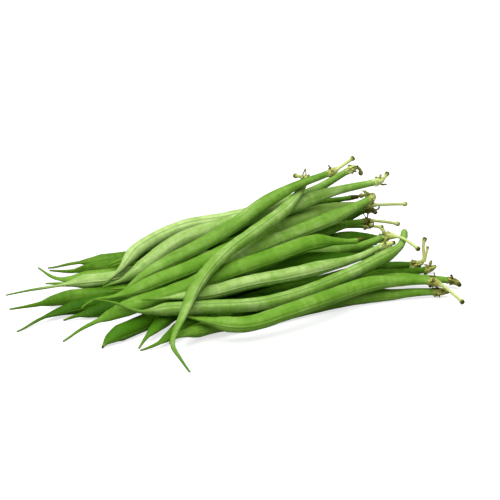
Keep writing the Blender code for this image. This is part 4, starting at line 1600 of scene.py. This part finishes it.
@dataclass
class Studio:
    """A white table in soft light, and the camera, in metres and degrees."""

    target: Place = (0.012, 0.011, 0.020)
    distance: float = 0.9
    azimuth: float = -20.0
    elevation: float = 22.0
    lens: float = 129.6
    sensor: float = 36.0
    near: float = 0.01
    floor_size: float = 12.0
    table_tone: float = 0.46
    table_roughness: float = 0.9
    table_glow: float = 0.70
    table_bounce: float = 0.38
    sky: float = 0.12
    key_power: float = 32.0
    key_size: float = 1.5
    key_place: Place = (-0.22, -0.34, 1.2)
    fill_power: float = 1.2
    fill_size: float = 1.2
    fill_place: Place = (0.1, -1.3, 0.8)

    def build(self) -> None:
        """Sets up the table, the light and the camera."""
        self.lay_floor()
        self.light_sky()
        self.hang_light("key", self.key_place, self.key_size, self.key_power)
        self.hang_light("fill", self.fill_place, self.fill_size, self.fill_power)
        self.place_camera()
        bpy.context.scene.view_settings.view_transform = "Standard"
        LOG.info("studio: floor, two soft lights and a camera")

    def lay_floor(self) -> None:
        """Lays the white table, which shows only faint shadows and throws little light back."""
        deselect_all()
        bpy.ops.mesh.primitive_plane_add(size=self.floor_size)
        floor = bpy.context.active_object
        floor.name = "table"
        paint = bpy.data.materials.new("white_table")
        paint.use_nodes = True
        bench = NodeBench(paint.node_tree)
        shader = bench.give(paint.node_tree.nodes["Principled BSDF"], {
            "Base Color": (*(self.table_tone,) * 3, 1.0), "Roughness": self.table_roughness,
            "Specular IOR Level": 0.0, "Emission Color": (1.0, 1.0, 1.0, 1.0),
            "Emission Strength": self.table_glow})
        bounce = bench.add("ShaderNodeBsdfDiffuse", {"Color": (*(self.table_bounce,) * 3, 1.0)})
        seen = bench.add("ShaderNodeLightPath").outputs["Is Camera Ray"]
        mix = bench.add(
            "ShaderNodeMixShader", {0: seen, 1: bounce.outputs[0], 2: shader.outputs[0]})
        bench.give(paint.node_tree.nodes["Material Output"], {"Surface": mix.outputs[0]})
        floor.data.materials.append(paint)

    def light_sky(self) -> None:
        """Surrounds the scene with even white light."""
        world = bpy.data.worlds.new("soft_sky")
        world.use_nodes = True
        NodeBench(world.node_tree).give(world.node_tree.nodes["Background"], {
            "Color": (1.0, 1.0, 1.0, 1.0), "Strength": self.sky})
        bpy.context.scene.world = world

    def hang_light(
        self, name: str, place: Place, size: float, power: float
    ) -> None:
        """Hangs a square soft light that faces the beans.

        Args:
            name: The light's name.
            place: Where it hangs.
            size: The length of its side.
            power: Its power, in watts.
        """
        bpy.ops.object.light_add(type="AREA", location=place)
        light = bpy.context.active_object
        light.name = name
        light.data.energy = power
        light.data.size = size
        facing = Vector(self.target) - Vector(place)
        light.rotation_euler = facing.to_track_quat("-Z", "Y").to_euler()

    def place_camera(self) -> None:
        """Places the camera at the photograph's angle."""
        turn, rise = math.radians(self.azimuth), math.radians(self.elevation)
        back = Vector((
            math.sin(turn) * math.cos(rise), -math.cos(turn) * math.cos(rise), math.sin(rise)))
        bpy.ops.object.camera_add(location=Vector(self.target) + back * self.distance)
        camera = bpy.context.active_object
        camera.rotation_euler = (-back).to_track_quat("-Z", "Y").to_euler()
        camera.data.lens = self.lens
        camera.data.sensor_width = self.sensor
        camera.data.clip_start = self.near
        bpy.context.scene.camera = camera


def main() -> None:
    """Builds the bundle and the studio."""
    logging.basicConfig(level=logging.INFO, format="%(name)s: %(message)s")
    Bundle(BEANS).build()
    Studio().build()


if __name__ == "__main__":
    main()
